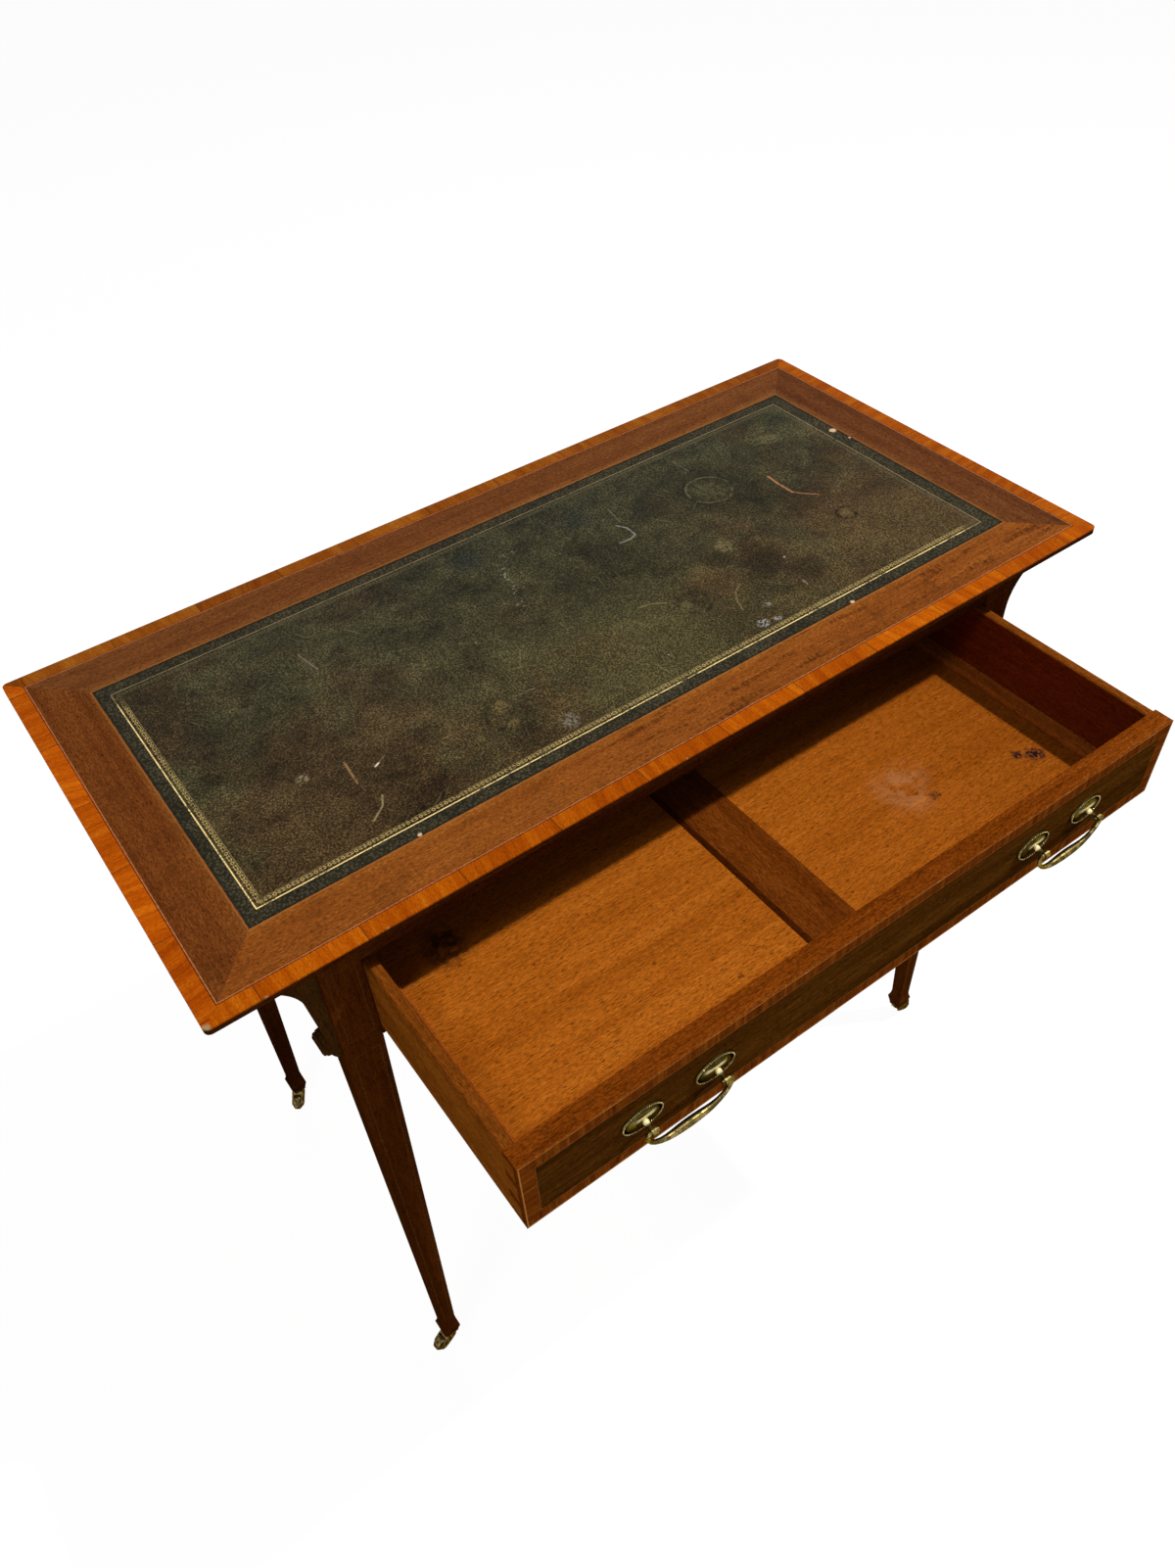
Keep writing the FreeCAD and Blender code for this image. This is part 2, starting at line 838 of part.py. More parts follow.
def wheel():
    radius = wheel_diameter / 2
    half = wheel_width / 2
    bore = axle_radius + pin_fit
    bevel = wheel_edge_bevel
    dish = half - wheel_dish_depth

    def place(out, y):
        return Vector(castor_trail + out, y, radius)

    def side_points(side):
        return [
            place(bore, side * half),
            place(wheel_hub_radius, side * half),
            place(wheel_hub_radius, side * dish),
            place(wheel_dish_radius, side * dish),
            place(wheel_dish_radius, side * half),
            place(radius - bevel, side * half),
            place(radius, side * (half - bevel)),
        ]

    points = side_points(-1) + side_points(1)[::-1]
    face = Part.Face(Part.makePolygon(points + points[:1]))
    return face.revolve(place(0, 0), Vector(0, 1, 0), 360)


def plate():
    half = foot_width / 2
    rivet_top = crown_bottom - swivel_gap
    pad = box(-half, half, -half, half, plate_bottom, castor_height)
    spindle = rod(spindle_radius, Vector(0, 0, rivet_top), Vector(0, 0, plate_bottom))
    rivet = rod(rivet_radius, Vector(0, 0, rivet_top - rivet_height), Vector(0, 0, rivet_top))
    return joined(pad, spindle, rivet)


def set_down(shape, corner, turn):
    x = -foot_x if corner.endswith("left") else foot_x
    y = -foot_y if corner.startswith("front") else foot_y
    placed = shape.copy()
    placed.rotate(Vector(0, 0, 0), Vector(0, 0, 1), turn)
    placed.translate(Vector(x, y, 0))
    return placed


one_fork = fork()
one_axle = axle()
one_wheel = wheel()
one_plate = plate()
for corner, turn in castor_turns.items():
    save("castor_plate_" + corner, set_down(one_plate, corner, 0))
    save("castor_fork_" + corner, set_down(one_fork, corner, turn))
    save("castor_axle_" + corner, set_down(one_axle, corner, turn))
    save("castor_wheel_" + corner, set_down(one_wheel, corner, turn))
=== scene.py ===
import math

import bmesh
import bpy
from mathutils import Matrix, Vector


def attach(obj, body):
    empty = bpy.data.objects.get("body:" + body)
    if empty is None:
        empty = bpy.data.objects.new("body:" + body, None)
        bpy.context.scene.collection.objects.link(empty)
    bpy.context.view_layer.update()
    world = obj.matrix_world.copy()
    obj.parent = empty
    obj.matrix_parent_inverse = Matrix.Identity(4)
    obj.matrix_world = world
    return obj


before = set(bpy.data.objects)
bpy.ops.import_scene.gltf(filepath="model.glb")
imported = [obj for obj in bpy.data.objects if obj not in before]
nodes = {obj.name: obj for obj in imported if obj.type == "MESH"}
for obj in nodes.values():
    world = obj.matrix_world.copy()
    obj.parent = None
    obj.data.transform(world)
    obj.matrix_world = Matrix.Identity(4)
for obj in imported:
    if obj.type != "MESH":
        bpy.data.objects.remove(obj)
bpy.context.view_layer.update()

scene = bpy.context.scene
scene.view_settings.view_transform = "Standard"

# Sizes shared with the solids, in metres
MM = 0.001
TOP_Z = 0.775
HALF_X, HALF_Y = 0.457, 0.223
STRING_X, STRING_Y = 0.4422, 0.2082
LEATHER_X, LEATHER_Y, LEATHER_Z = 0.3961, 0.1621, 0.7747
FACE_Y = -0.410
FRONT_X, FRONT_Z0, FRONT_Z1 = 0.336, 0.6435, 0.7305
FRONT_MID, FRONT_HALF = (FRONT_Z0 + FRONT_Z1) / 2, (FRONT_Z1 - FRONT_Z0) / 2
SIDE_WIDTH = 0.0105
PANEL_X, PANEL_Z = 0.31, 0.659
HANDLE_X, POST_HALF, HANDLE_Z = 0.2028, 0.0328, 0.688
ROSE_X, ROSE_Z = 0.0185, 0.0125
LEG_OUT, LEG_FRONT, LEG_WIDTH, ANKLE_WIDTH = 0.371, 0.204, 0.034, 0.016
BLOCK_Z, UNDER_Z, ANKLE_Z = 0.632, 0.759, 0.0546
SIDES = ("left", "right")
CORNERS = ("front_left", "front_right", "back_left", "back_right")

# Sizes of the thin trim that only the scene has, in metres
LINE_LIFT, LINE_SINK, LINE_WIDTH = 0.00006, 0.0002, 0.0011
BLOCK_LINE_IN, BLOCK_LINE_TOP, BLOCK_LINE_FOOT = 0.005, UNDER_Z - 0.024, BLOCK_Z + 0.013
LEG_LINE_TOP, LEG_LINE_TOP_IN = BLOCK_Z - 0.008, 0.0045
LEG_LINE_FOOT, LEG_LINE_FOOT_IN = ANKLE_Z + 0.016, 0.0035
DRAWER_LINES = ((0.0006, 0.0010), (0.0125, LINE_WIDTH))
GOLD_X, GOLD_Y, GOLD_INSET, GOLD_LIFT = -0.0018, 0.0001, 0.0133, 0.00005
MOTIF_STEP, MOTIF_INSET, MOTIF_START_SHARE = 0.0113, 0.0049, 0.1
MOTIF_RING = (0.0008, 0.0017)
MOTIF_RING_STEPS = 10
MOTIF_LEAVES = (
    ((0.0019, 0.0002), (0.0036, 0.0016), (0.0056, 0.0013), (0.0044, 0.0004)),
    ((0.0092, 0.0002), (0.0075, 0.0016), (0.0056, 0.0013), (0.0067, 0.0004)),
)
INNER_GOLD_INSET, INNER_GOLD_WIDTH = 0.0071, 0.0003
BEAD_COUNT, BEAD_RADIUS, BEAD_RISE = 60, 0.00072, 0.0019
BEAD_X, BEAD_Z = 0.0175, 0.01185


class Nodes:
    """Short calls for the nodes of one tree."""

    def __init__(self, tree):
        self.tree = tree
        self.tree.nodes.clear()

    def node(self, kind, **settings):
        made = self.tree.nodes.new(kind)
        for key, value in settings.items():
            setattr(made, key, value)
        return made

    def put(self, socket, value):
        if isinstance(value, bpy.types.NodeSocket):
            self.tree.links.new(value, socket)
        elif isinstance(value, (tuple, list)) and len(value) == 3 and socket.type == "RGBA":
            socket.default_value = (*value, 1.0)
        else:
            socket.default_value = value

    def fed(self, made, *values):
        for socket, value in zip(made.inputs, values):
            self.put(socket, value)
        return made

    def math(self, operation, *values, clamp=False):
        made = self.node("ShaderNodeMath", operation=operation, use_clamp=clamp)
        return self.fed(made, *values).outputs[0]

    def plus(self, first, second):
        return self.math("ADD", first, second)

    def minus(self, first, second):
        return self.math("SUBTRACT", first, second)

    def times(self, first, second):
        return self.math("MULTIPLY", first, second)

    def most(self, first, second):
        return self.math("MAXIMUM", first, second)

    def size(self, value):
        return self.math("ABSOLUTE", value)

    def past(self, value, half):
        """How far a coordinate lies outside the stretch from minus half to plus half."""
        return self.minus(self.size(value), half)

    def outside(self, x, y, half_x, half_y):
        """How far a point lies outside a rectangle: below 0 inside it."""
        return self.most(self.past(x, half_x), self.past(y, half_y))

    def vector(self, operation, *values):
        made = self.fed(self.node("ShaderNodeVectorMath", operation=operation), *values)
        return made.outputs["Value" if operation in ("LENGTH", "DISTANCE", "DOT_PRODUCT") else "Vector"]

    def scaled(self, value, factor):
        made = self.node("ShaderNodeVectorMath", operation="SCALE")
        self.put(made.inputs["Vector"], value)
        self.put(made.inputs["Scale"], factor)
        return made.outputs["Vector"]

    def split(self, value):
        return self.fed(self.node("ShaderNodeSeparateXYZ"), value).outputs

    def join(self, x, y, z):
        return self.fed(self.node("ShaderNodeCombineXYZ"), x, y, z).outputs[0]

    def ramp(self, fac, *stops):
        made = self.fed(self.node("ShaderNodeValToRGB"), fac)
        bar = made.color_ramp.elements
        while len(bar) < len(stops):
            bar.new(0.5)
        for element, (place, colour) in zip(bar, stops):
            element.position = place
            element.color = (*colour, 1.0)
        return made.outputs[0]

    def mix(self, fac, first, second, blend="MIX"):
        made = self.node("ShaderNodeMix", data_type="RGBA", blend_type=blend)
        self.put(made.inputs[0], fac)
        self.put(made.inputs[6], first)
        self.put(made.inputs[7], second)
        return made.outputs[2]

    def tinted(self, colour, shade):
        return self.mix(1.0, colour, shade, "MULTIPLY")


class Shader(Nodes):
    """A material under construction, with the textures and marks that the finishes below share."""

    def __init__(self, name):
        self.mat = bpy.data.materials.new(name)
        self.mat.use_nodes = True
        super().__init__(self.mat.node_tree)
        out = self.node("ShaderNodeOutputMaterial")
        self.bsdf = self.node("ShaderNodeBsdfPrincipled")
        self.put(out.inputs[0], self.bsdf.outputs[0])
        self.at = self.node("ShaderNodeTexCoord").outputs["Object"]

    def place(self):
        return self.split(self.at)

    def noise(self, where, scale=1.0, detail=4.0, rough=0.5, twist=0.0):
        made = self.node("ShaderNodeTexNoise")
        self.put(made.inputs["Vector"], where)
        self.put(made.inputs["Scale"], scale)
        self.put(made.inputs["Detail"], detail)
        self.put(made.inputs["Roughness"], rough)
        self.put(made.inputs["Distortion"], twist)
        return made.outputs["Fac"]

    def cells(self, scale, feature="F1"):
        made = self.node("ShaderNodeTexVoronoi", feature=feature)
        self.put(made.inputs["Vector"], self.at)
        self.put(made.inputs["Scale"], scale)
        return made.outputs["Distance"]

    def chance(self, value):
        made = self.node("ShaderNodeTexWhiteNoise", noise_dimensions="1D")
        self.put(made.inputs["W"], value)
        return made.outputs["Value"]

    def span(self, value, low, high, first=0.0, last=1.0, smooth=True):
        """Goes from first at low to last at high."""
        made = self.node("ShaderNodeMapRange", interpolation_type="SMOOTHSTEP" if smooth else "LINEAR")
        return self.fed(made, value, low, high, first, last).outputs[0]

    def blend(self, fac, first, second):
        made = self.node("ShaderNodeMix", data_type="FLOAT")
        self.put(made.inputs[0], fac)
        self.put(made.inputs[2], first)
        self.put(made.inputs[3], second)
        return made.outputs[0]

    def shaken(self, centre, ragged, scale):
        """Distance from a centre, with noise that makes a rim ragged."""
        far = self.vector("DISTANCE", self.at, centre)
        shake = self.math("MULTIPLY_ADD", self.noise(self.at, scale, 3.0, 0.6), 2 * ragged, -ragged)
        return self.plus(far, shake)

    def spot(self, centre, inner, outer, ragged, scale):
        """1 inside a round patch, 0 outside, with a ragged rim."""
        return self.span(self.shaken(centre, ragged, scale), inner, outer, 1.0, 0.0)

    def ring(self, centre, radius, width, ragged=0.003, scale=45.0):
        """1 along a ragged ring, 0 at its width."""
        off = self.size(self.minus(self.shaken(centre, ragged, scale), radius))
        return self.span(off, 0.0, width, 1.0, 0.0)

    def stroke(self, points, width):
        """1 along a bent line through the points, 0 at its width."""
        near = None
        for first, last in zip(points, points[1:]):
            run = tuple(b - a for a, b in zip(first, last))
            away = self.vector("SUBTRACT", self.at, first)
            along = self.vector("DOT_PRODUCT", away, run)
            share = self.math("DIVIDE", along, sum(r * r for r in run), clamp=True)
            far = self.vector("DISTANCE", away, self.scaled(run, share))
            near = far if near is None else self.math("MINIMUM", near, far)
        return self.span(near, 0.0, width, 1.0, 0.0)

    def bump(self, height, distance, strength, under=None):
        made = self.node("ShaderNodeBump")
        made.inputs["Strength"].default_value = strength
        made.inputs["Distance"].default_value = distance
        self.put(made.inputs["Height"], height)
        if under is not None:
            self.put(made.inputs["Normal"], under)
        return made.outputs[0]

    def finish(self, colour, rough, normal=None, **sockets):
        self.put(self.bsdf.inputs["Base Color"], colour)
        self.put(self.bsdf.inputs["Roughness"], rough)
        if normal is not None:
            self.put(self.bsdf.inputs["Normal"], normal)
        for key, value in sockets.items():
            self.put(self.bsdf.inputs[key.replace("_", " ")], value)
        return self.mat


# Wood: streaks, fibres and pores drawn out along the grain
def grain_space(s, axis):
    x, y, z = s.place()
    return s.join(*{"x": (x, y, z), "y": (y, x, z), "z": (z, x, y)}[axis])


def grain_parts(s, where, streak, fibre, pore, wander):
    u, v, w = s.split(where)
    drift = s.noise(s.join(s.times(u, 2.2), s.times(v, 6.0), s.times(w, 6.0)), 1.0, 2.0)
    v = s.math("MULTIPLY_ADD", drift, wander, v)

    def drawn(along, over, detail, rough):
        return s.noise(s.join(s.times(u, along), s.times(v, over), s.times(w, over)), 1.0, detail, rough)

    streaks = drawn(2.6, streak, 4.0, 0.6)
    fibres = drawn(42.0, fibre, 3.0, 0.6)
    pores = s.span(drawn(170.0, pore, 2.0, 0.5), 0.5, 0.7)
    flecks = drawn(320.0, pore * 1.1, 2.0, 0.6)
    return streaks, fibres, pores, flecks


def wood_colour(s, where, shades, streak=38.0, wander=0.006, fibre_share=0.4, pore_depth=0.5, fleck=0.35,
                fibre=420.0, pore=900.0):
    """Colour, pores and bump of a wood whose shades go from dark to light."""
    dark, middle, light = shades
    streaks, fibres, pores, flecks = grain_parts(s, where, streak, fibre, pore, wander)
    tone = s.plus(s.times(streaks, 1 - fibre_share), s.times(fibres, fibre_share))
    colour = s.ramp(tone, (0.32, dark), (0.5, middle), (0.68, light))
    low, high = 1 - fleck, 1 + fleck
    colour = s.tinted(colour, s.ramp(flecks, (0.32, (low, low, low)), (0.68, (high, high, high))))
    colour = s.mix(s.times(pores, pore_depth), colour, tuple(c * 0.3 for c in dark))
    height = s.minus(s.times(fibres, 0.5), pores)
    return colour, pores, s.bump(height, 0.0001, 0.4)


def wood(name, axis, *shades, rough=0.46, **grain):
    s = Shader(name)
    colour, pores, normal = wood_colour(s, grain_space(s, axis), shades, **grain)
    worn = s.noise(s.at, 26.0, 4.0, 0.6)
    gloss = s.plus(s.span(worn, 0.3, 0.7, rough - 0.05, rough + 0.08), s.times(pores, 0.12))
    return s.finish(colour, gloss, normal, Specular_IOR_Level=0.0)


def frame_space(s):
    """Coordinates along and across the nearest side of the top, and the side: front, back, left, right."""
    x, y, _ = s.place()
    end = s.math("GREATER_THAN", s.past(x, HALF_X), s.past(y, HALF_Y))
    along = s.blend(end, x, y)
    over = s.blend(end, y, x)
    side = s.plus(s.times(end, 2.0), s.math("GREATER_THAN", over, 0.0))
    return along, over, side


def side_tones(s, side, front, back, left, right):
    return s.ramp(s.math("DIVIDE", side, 3.0), (0.0, front), (0.333, back), (0.667, left), (1.0, right))


def border_veneer():
    s = Shader("border_mahogany")
    along, over, side = frame_space(s)
    where = s.join(s.plus(along, s.times(side, 1.7)), over, s.times(side, 0.31))
    shades = ((0.110, 0.030, 0.006), (0.175, 0.052, 0.010), (0.240, 0.080, 0.016))
    colour, pores, normal = wood_colour(s, where, shades, streak=60.0, pore_depth=0.55, fleck=0.42)
    tones = ((1.30, 1.20, 0.90), (0.83, 0.87, 1.1), (0.82, 0.74, 0.70), (0.68, 0.70, 0.95))
    colour = s.tinted(colour, side_tones(s, side, *tones))
    ticks = s.noise(s.join(s.times(along, 260.0), s.times(over, 90.0), side), 1.0, 4.0, 0.65)
    smear = s.noise(s.join(s.times(along, 16.0), s.times(over, 95.0), side), 1.0, 3.0, 0.6)
    smear = s.times(s.span(smear, 0.50, 0.64), s.span(ticks, 0.42, 0.58, 0.2, 0.9))
    x, y, _ = s.place()
    right_front = s.times(s.span(x, -0.16, -0.04), s.span(y, -0.14, -0.17))
    smear = s.times(smear, s.span(right_front, 0.0, 1.0, 0.15, 0.85))
    colour = s.mix(smear, colour, (0.055, 0.014, 0.003))
    inner = s.outside(x, y, LEATHER_X, LEATHER_Y)
    faded = s.ramp(s.span(inner, 0.011, 0.003), (0.0, (1.0, 1.0, 1.0)), (1.0, (1.18, 1.30, 1.30)))
    colour = s.tinted(colour, faded)
    colour = s.mix(s.span(inner, 0.0026, 0.0006, 0.0, 0.4), colour, (0.42, 0.15, 0.035))
    rub = s.span(s.noise(s.at, 34.0, 5.0, 0.65), 0.50, 0.72, 0.0, 0.35)
    colour = s.mix(rub, colour, (0.060, 0.017, 0.004))
    gloss = s.math("MULTIPLY_ADD", pores, 0.12, 0.42)
    return s.finish(colour, gloss, normal, Specular_IOR_Level=0.012)


def satinwood_band():
    """Crossband laid in leaves of veneer, each with its own lean and tone."""
    leaf_length = 0.083
    s = Shader("satinwood_crossband")
    along, over, side = frame_space(s)
    step = s.plus(s.math("DIVIDE", along, leaf_length), s.times(side, 7.3))
    leaf = s.math("FLOOR", step)
    luck = s.chance(leaf)
    lean = s.times(s.minus(luck, 0.5), 0.5)
    skew = s.plus(along, s.times(over, lean))
    where = s.join(over, s.plus(skew, s.times(leaf, 0.37)), s.times(side, 0.4))
    shades = ((0.28, 0.047, 0.001), (0.43, 0.085, 0.002), (0.56, 0.150, 0.006))
    colour, pores, normal = wood_colour(s, where, shades, streak=95.0, wander=0.003, fibre_share=0.3,
                                        pore_depth=0.25, fleck=0.25, fibre=500.0, pore=1000.0)
    colour = s.tinted(colour, s.ramp(luck, (0.0, (0.78, 0.72, 0.7)), (1.0, (1.06, 1.08, 1.1))))
    tones = ((1.0, 1.0, 0.7), (0.62, 0.80, 2.0), (1.08, 1.0, 0.8), (0.88, 0.95, 1.3))
    colour = s.tinted(colour, side_tones(s, side, *tones))
    joint = s.span(s.size(s.minus(s.math("FRACT", step), 0.5)), 0.491, 0.497)
    colour = s.mix(s.times(joint, 0.7), colour, (0.07, 0.02, 0.005))
    chip = s.spot((-0.4545, -0.2205, TOP_Z), 0.0018, 0.0042, 0.002, 300.0)
    nick_place = s.noise(s.join(s.times(along, 55.0), s.times(side, 9.0), 0.0), 1.0, 2.0)
    x, y, _ = s.place()
    edge = s.outside(x, y, HALF_X, HALF_Y)
    nick = s.times(s.span(edge, -0.0016, -0.0004), s.span(nick_place, 0.64, 0.70))
    colour = s.mix(s.most(chip, s.times(nick, 0.8)), colour, (0.36, 0.23, 0.10))
    gloss = s.span(s.noise(s.at, 30.0, 4.0, 0.6), 0.3, 0.7, 0.34, 0.46)
    return s.finish(colour, gloss, normal, Specular_IOR_Level=0.01)


# Inlaid lines
def line_inlay():
    """The top's line: a dark red outer half, a pale inner half."""
    s = Shader("stringing_line")
    x, y, _ = s.place()
    outer = s.span(s.outside(x, y, STRING_X, STRING_Y), -0.0009, -0.0007)
    flecks = s.noise(s.at, 320.0, 2.0)
    light = s.ramp(flecks, (0.3, (0.29, 0.092, 0.032)), (0.7, (0.46, 0.175, 0.070)))
    red = s.ramp(flecks, (0.3, (0.085, 0.012, 0.001)), (0.7, (0.150, 0.024, 0.002)))
    return s.finish(s.mix(outer, light, red), s.span(flecks, 0.3, 0.7, 0.36, 0.5), Specular_IOR_Level=0.005)


def plain_line(name, dark, light):
    s = Shader(name)
    flecks = s.noise(s.at, 260.0, 3.0)
    colour = s.ramp(flecks, (0.3, dark), (0.7, light))
    return s, colour, s.span(flecks, 0.3, 0.7, 0.36, 0.5)


def leg_line():
    s, colour, rough = plain_line("leg_line", (0.070, 0.022, 0.004), (0.150, 0.055, 0.012))
    return s.finish(colour, rough, Specular_IOR_Level=0.0)


def drawer_line():
    """Two lines on the drawer front: a pale worn one at the edge, a fainter one round the field."""
    s, colour, rough = plain_line("drawer_line", (0.13, 0.042, 0.008), (0.24, 0.085, 0.018))
    x, _, z = s.place()
    edge = s.outside(x, s.minus(z, FRONT_MID), FRONT_X, FRONT_HALF)
    wear = s.noise(s.join(s.times(x, 28.0), 0.0, 0.0), 1.0, 5.0, 0.7)
    light = s.ramp(wear, (0.40, (0.26, 0.085, 0.014)), (0.60, (0.62, 0.26, 0.06)), (0.72, (1.0, 0.70, 0.36)))
    return s.finish(s.mix(s.span(edge, -0.006, -0.004), colour, light), rough, Specular_IOR_Level=0.0)


# Leather: places and widths of its marks in millimetres from the middle of the top, colours and strengths
olive, gold = (0.090, 0.080, 0.032), (0.150, 0.092, 0.036)
soot, slate = (0.014, 0.011, 0.006), (0.024, 0.025, 0.018)
stain, dark_ring = (0.010, 0.008, 0.004), (0.008, 0.006, 0.003)
pale, tan, chalk = (0.17, 0.15, 0.085), (0.20, 0.16, 0.07), (0.42, 0.41, 0.37)
rust, amber, straw = (0.42, 0.19, 0.075), (0.17, 0.12, 0.045), (0.5, 0.44, 0.25)
clouds = (
    ((25.0, -95.0), 110.0, olive, 0.42),
    ((-75.0, -30.0), 50.0, olive, 0.30),
    ((320.0, -95.0), 95.0, gold, 0.30),
    ((120.0, -52.0), 26.0, gold, 0.20),
    ((148.0, -34.0), 22.0, soot, 0.60),
    ((180.0, -62.0), 34.0, soot, 0.70),
    ((206.0, -96.0), 26.0, soot, 0.60),
    ((163.0, -108.0), 16.0, soot, 0.50),
    ((-40.0, 116.0), 24.0, slate, 0.60),
    ((84.0, 108.0), 26.0, slate, 0.50),
    ((330.0, 20.0), 24.0, soot, 0.40),
    ((-357.0, -6.0), 14.0, soot, 0.60),
    ((-297.0, 63.0), 9.0, soot, 0.50),
    ((-125.0, 84.0), 16.0, soot, 0.45),
    ((-190.0, -66.0), 18.0, soot, 0.35),
)
rings = (
    ((217.3, 62.6), 23.5, 2.0, pale, 0.6),
    ((217.3, 62.6), 26.5, 2.0, soot, 0.8),
    ((293.7, -54.8), 9.5, 3.4, dark_ring, 1.0),
    ((-128.5, -88.0), 17.0, 3.0, stain, 0.7),
    ((88.0, -71.0), 15.0, 3.5, stain, 0.6),
)
patches = (
    ((217.3, 62.6), 25.0, (0.095, 0.088, 0.042), 0.6),
    ((293.7, -54.8), 7.0, (0.15, 0.105, 0.05), 0.8),
    ((165.6, -21.9), 13.0, tan, 0.7),
    ((330.0, 97.0), 15.0, tan, 0.5),
    ((80.0, -69.0), 8.0, tan, 0.4),
    ((-127.0, -77.0), 11.0, amber, 0.9),
    ((-130.0, -101.0), 9.0, amber, 0.7),
    ((116.6, -131.6), 8.0, chalk, 0.85),
    ((131.2, -135.5), 4.5, chalk, 0.7),
    ((137.9, -113.4), 6.0, chalk, 0.45),
    ((-91.9, -128.8), 11.0, chalk, 0.3),
    ((25.0, -114.9), 2.6, straw, 0.9),
    ((22.6, -104.2), 1.8, straw, 0.8),
    ((197.9, -70.6), 1.6, chalk, 0.9),
    ((294.5, -29.6), 1.4, chalk, 0.8),
    ((-297.5, -49.4), 7.0, (0.30, 0.24, 0.14), 0.7),
    ((-98.4, 7.3), 1.5, chalk, 0.7),
)
strokes = (
    (((106.3, 72.6), (112.2, 62.8), (112.1, 48.5), (104.4, 45.4), (91.9, 46.4)), 1.5, chalk, 0.55),
    (((117.8, 102.6), (112.9, 74.4)), 1.0, pale, 0.7),
    (((278.6, 42.6), (277.5, 24.9), (278.1, 6.2)), 2.2, rust, 0.95),
    (((278.1, 6.2), (284.5, -2.8), (295.2, -13.4)), 1.5, rust, 0.7),
    (((137.5, -76.6), (127.0, -82.7), (119.0, -95.0), (115.1, -107.0)), 1.2, tan, 0.8),
    (((45.1, -45.5), (56.0, -47.4), (67.7, -55.0)), 2.0, tan, 0.7),
    (((222.1, 128.6), (223.2, 102.9)), 1.0, pale, 0.8),
    (((186.5, -108.3), (185.7, -115.0)), 1.1, chalk, 0.6),
    (((-230.9, 93.1), (-226.1, 64.5)), 1.4, (0.24, 0.16, 0.10), 0.8),
    (((-73.6, -27.2), (-86.6, -46.7)), 1.0, pale, 0.7),
    (((-244.6, -73.7), (-240.4, -71.9)), 1.4, (0.8, 0.75, 0.6), 1.0),
    (((-240.4, -71.9), (-233.0, -67.5)), 0.9, pale, 0.8),
    (((-262.4, -53.9), (-265.0, -81.5)), 1.7, (0.32, 0.18, 0.08), 0.9),
    (((-255.9, -105.3), (-261.0, -115.4), (-274.4, -125.4)), 1.4, (0.28, 0.23, 0.11), 0.95),
    (((-111.9, -74.4), (-91.8, -76.1)), 1.2, pale, 0.9),
    (((8.1, -118.2), (10.7, -135.4)), 0.9, pale, 0.7),
)
dust_trail = ((2.9, 103.0), (-9.9, 100.7), (-22.5, 83.1), (-29.7, 46.2), (-38.4, 23.9))
dust_trail_width = 6.0
rim_nicks = (((391.5, 66.0), 4.6), ((394.5, 44.0), 1.6), ((-253.5, -160.0), 2.2), ((198.5, -160.3), 2.8))


def on_leather(point):
    return (point[0] * MM, point[1] * MM, LEATHER_Z)


def leather_ground(s, x, y, patch, grit):
    """Mottled green that goes brown to the left and to the right front, with soft clouds."""
    mottle = s.noise(s.at, 8.0, 8.0, 0.66, 0.8)
    tone = s.math("MULTIPLY_ADD", mottle, 0.44, s.math("MULTIPLY_ADD", patch, 0.36, s.times(grit, 0.20)))
    green = s.ramp(
        tone,
        (0.37, (0.013, 0.011, 0.006)),
        (0.45, (0.030, 0.026, 0.012)),
        (0.52, (0.052, 0.044, 0.019)),
        (0.63, (0.096, 0.082, 0.033)),
    )
    umber = s.ramp(
        tone,
        (0.37, (0.015, 0.009, 0.004)),
        (0.45, (0.035, 0.021, 0.009)),
        (0.52, (0.059, 0.036, 0.015)),
        (0.63, (0.102, 0.066, 0.028)),
    )
    left = s.span(x, -0.06, -0.26, 0.0, 0.17)
    right = s.times(s.span(x, 0.16, 0.30, 0.0, 0.15), s.span(y, 0.05, -0.05))
    brown = s.plus(s.noise(s.at, 7.0, 5.0, 0.6), s.plus(left, right))
    worn = s.mix(s.span(brown, 0.50, 0.70, 0.0, 0.85), green, umber)
    blots = s.span(s.noise(s.at, 19.0, 7.0, 0.68, 1.2), 0.56, 0.70, 0.0, 0.55)
    worn = s.mix(blots, worn, (0.011, 0.009, 0.005))
    for centre, radius, tint, power in clouds:
        cloud = s.spot(on_leather(centre), radius * 0.3 * MM, radius * MM, radius * 0.5 * MM, 1600.0 / radius)
        worn = s.mix(s.times(cloud, power), worn, tint)
    speck = s.noise(s.at, 600.0, 4.0, 0.75)
    shade = s.ramp(speck, (0.36, (0.24, 0.24, 0.26)), (0.5, (0.72, 0.74, 0.78)), (0.62, (2.5, 2.45, 2.3)))
    worn = s.tinted(worn, shade)
    front_to_back = s.span(y, -0.13, 0.13, smooth=False)
    return s.tinted(worn, s.ramp(front_to_back, (0.0, (1.06, 0.98, 0.95)), (1.0, (0.84, 0.92, 1.08))))


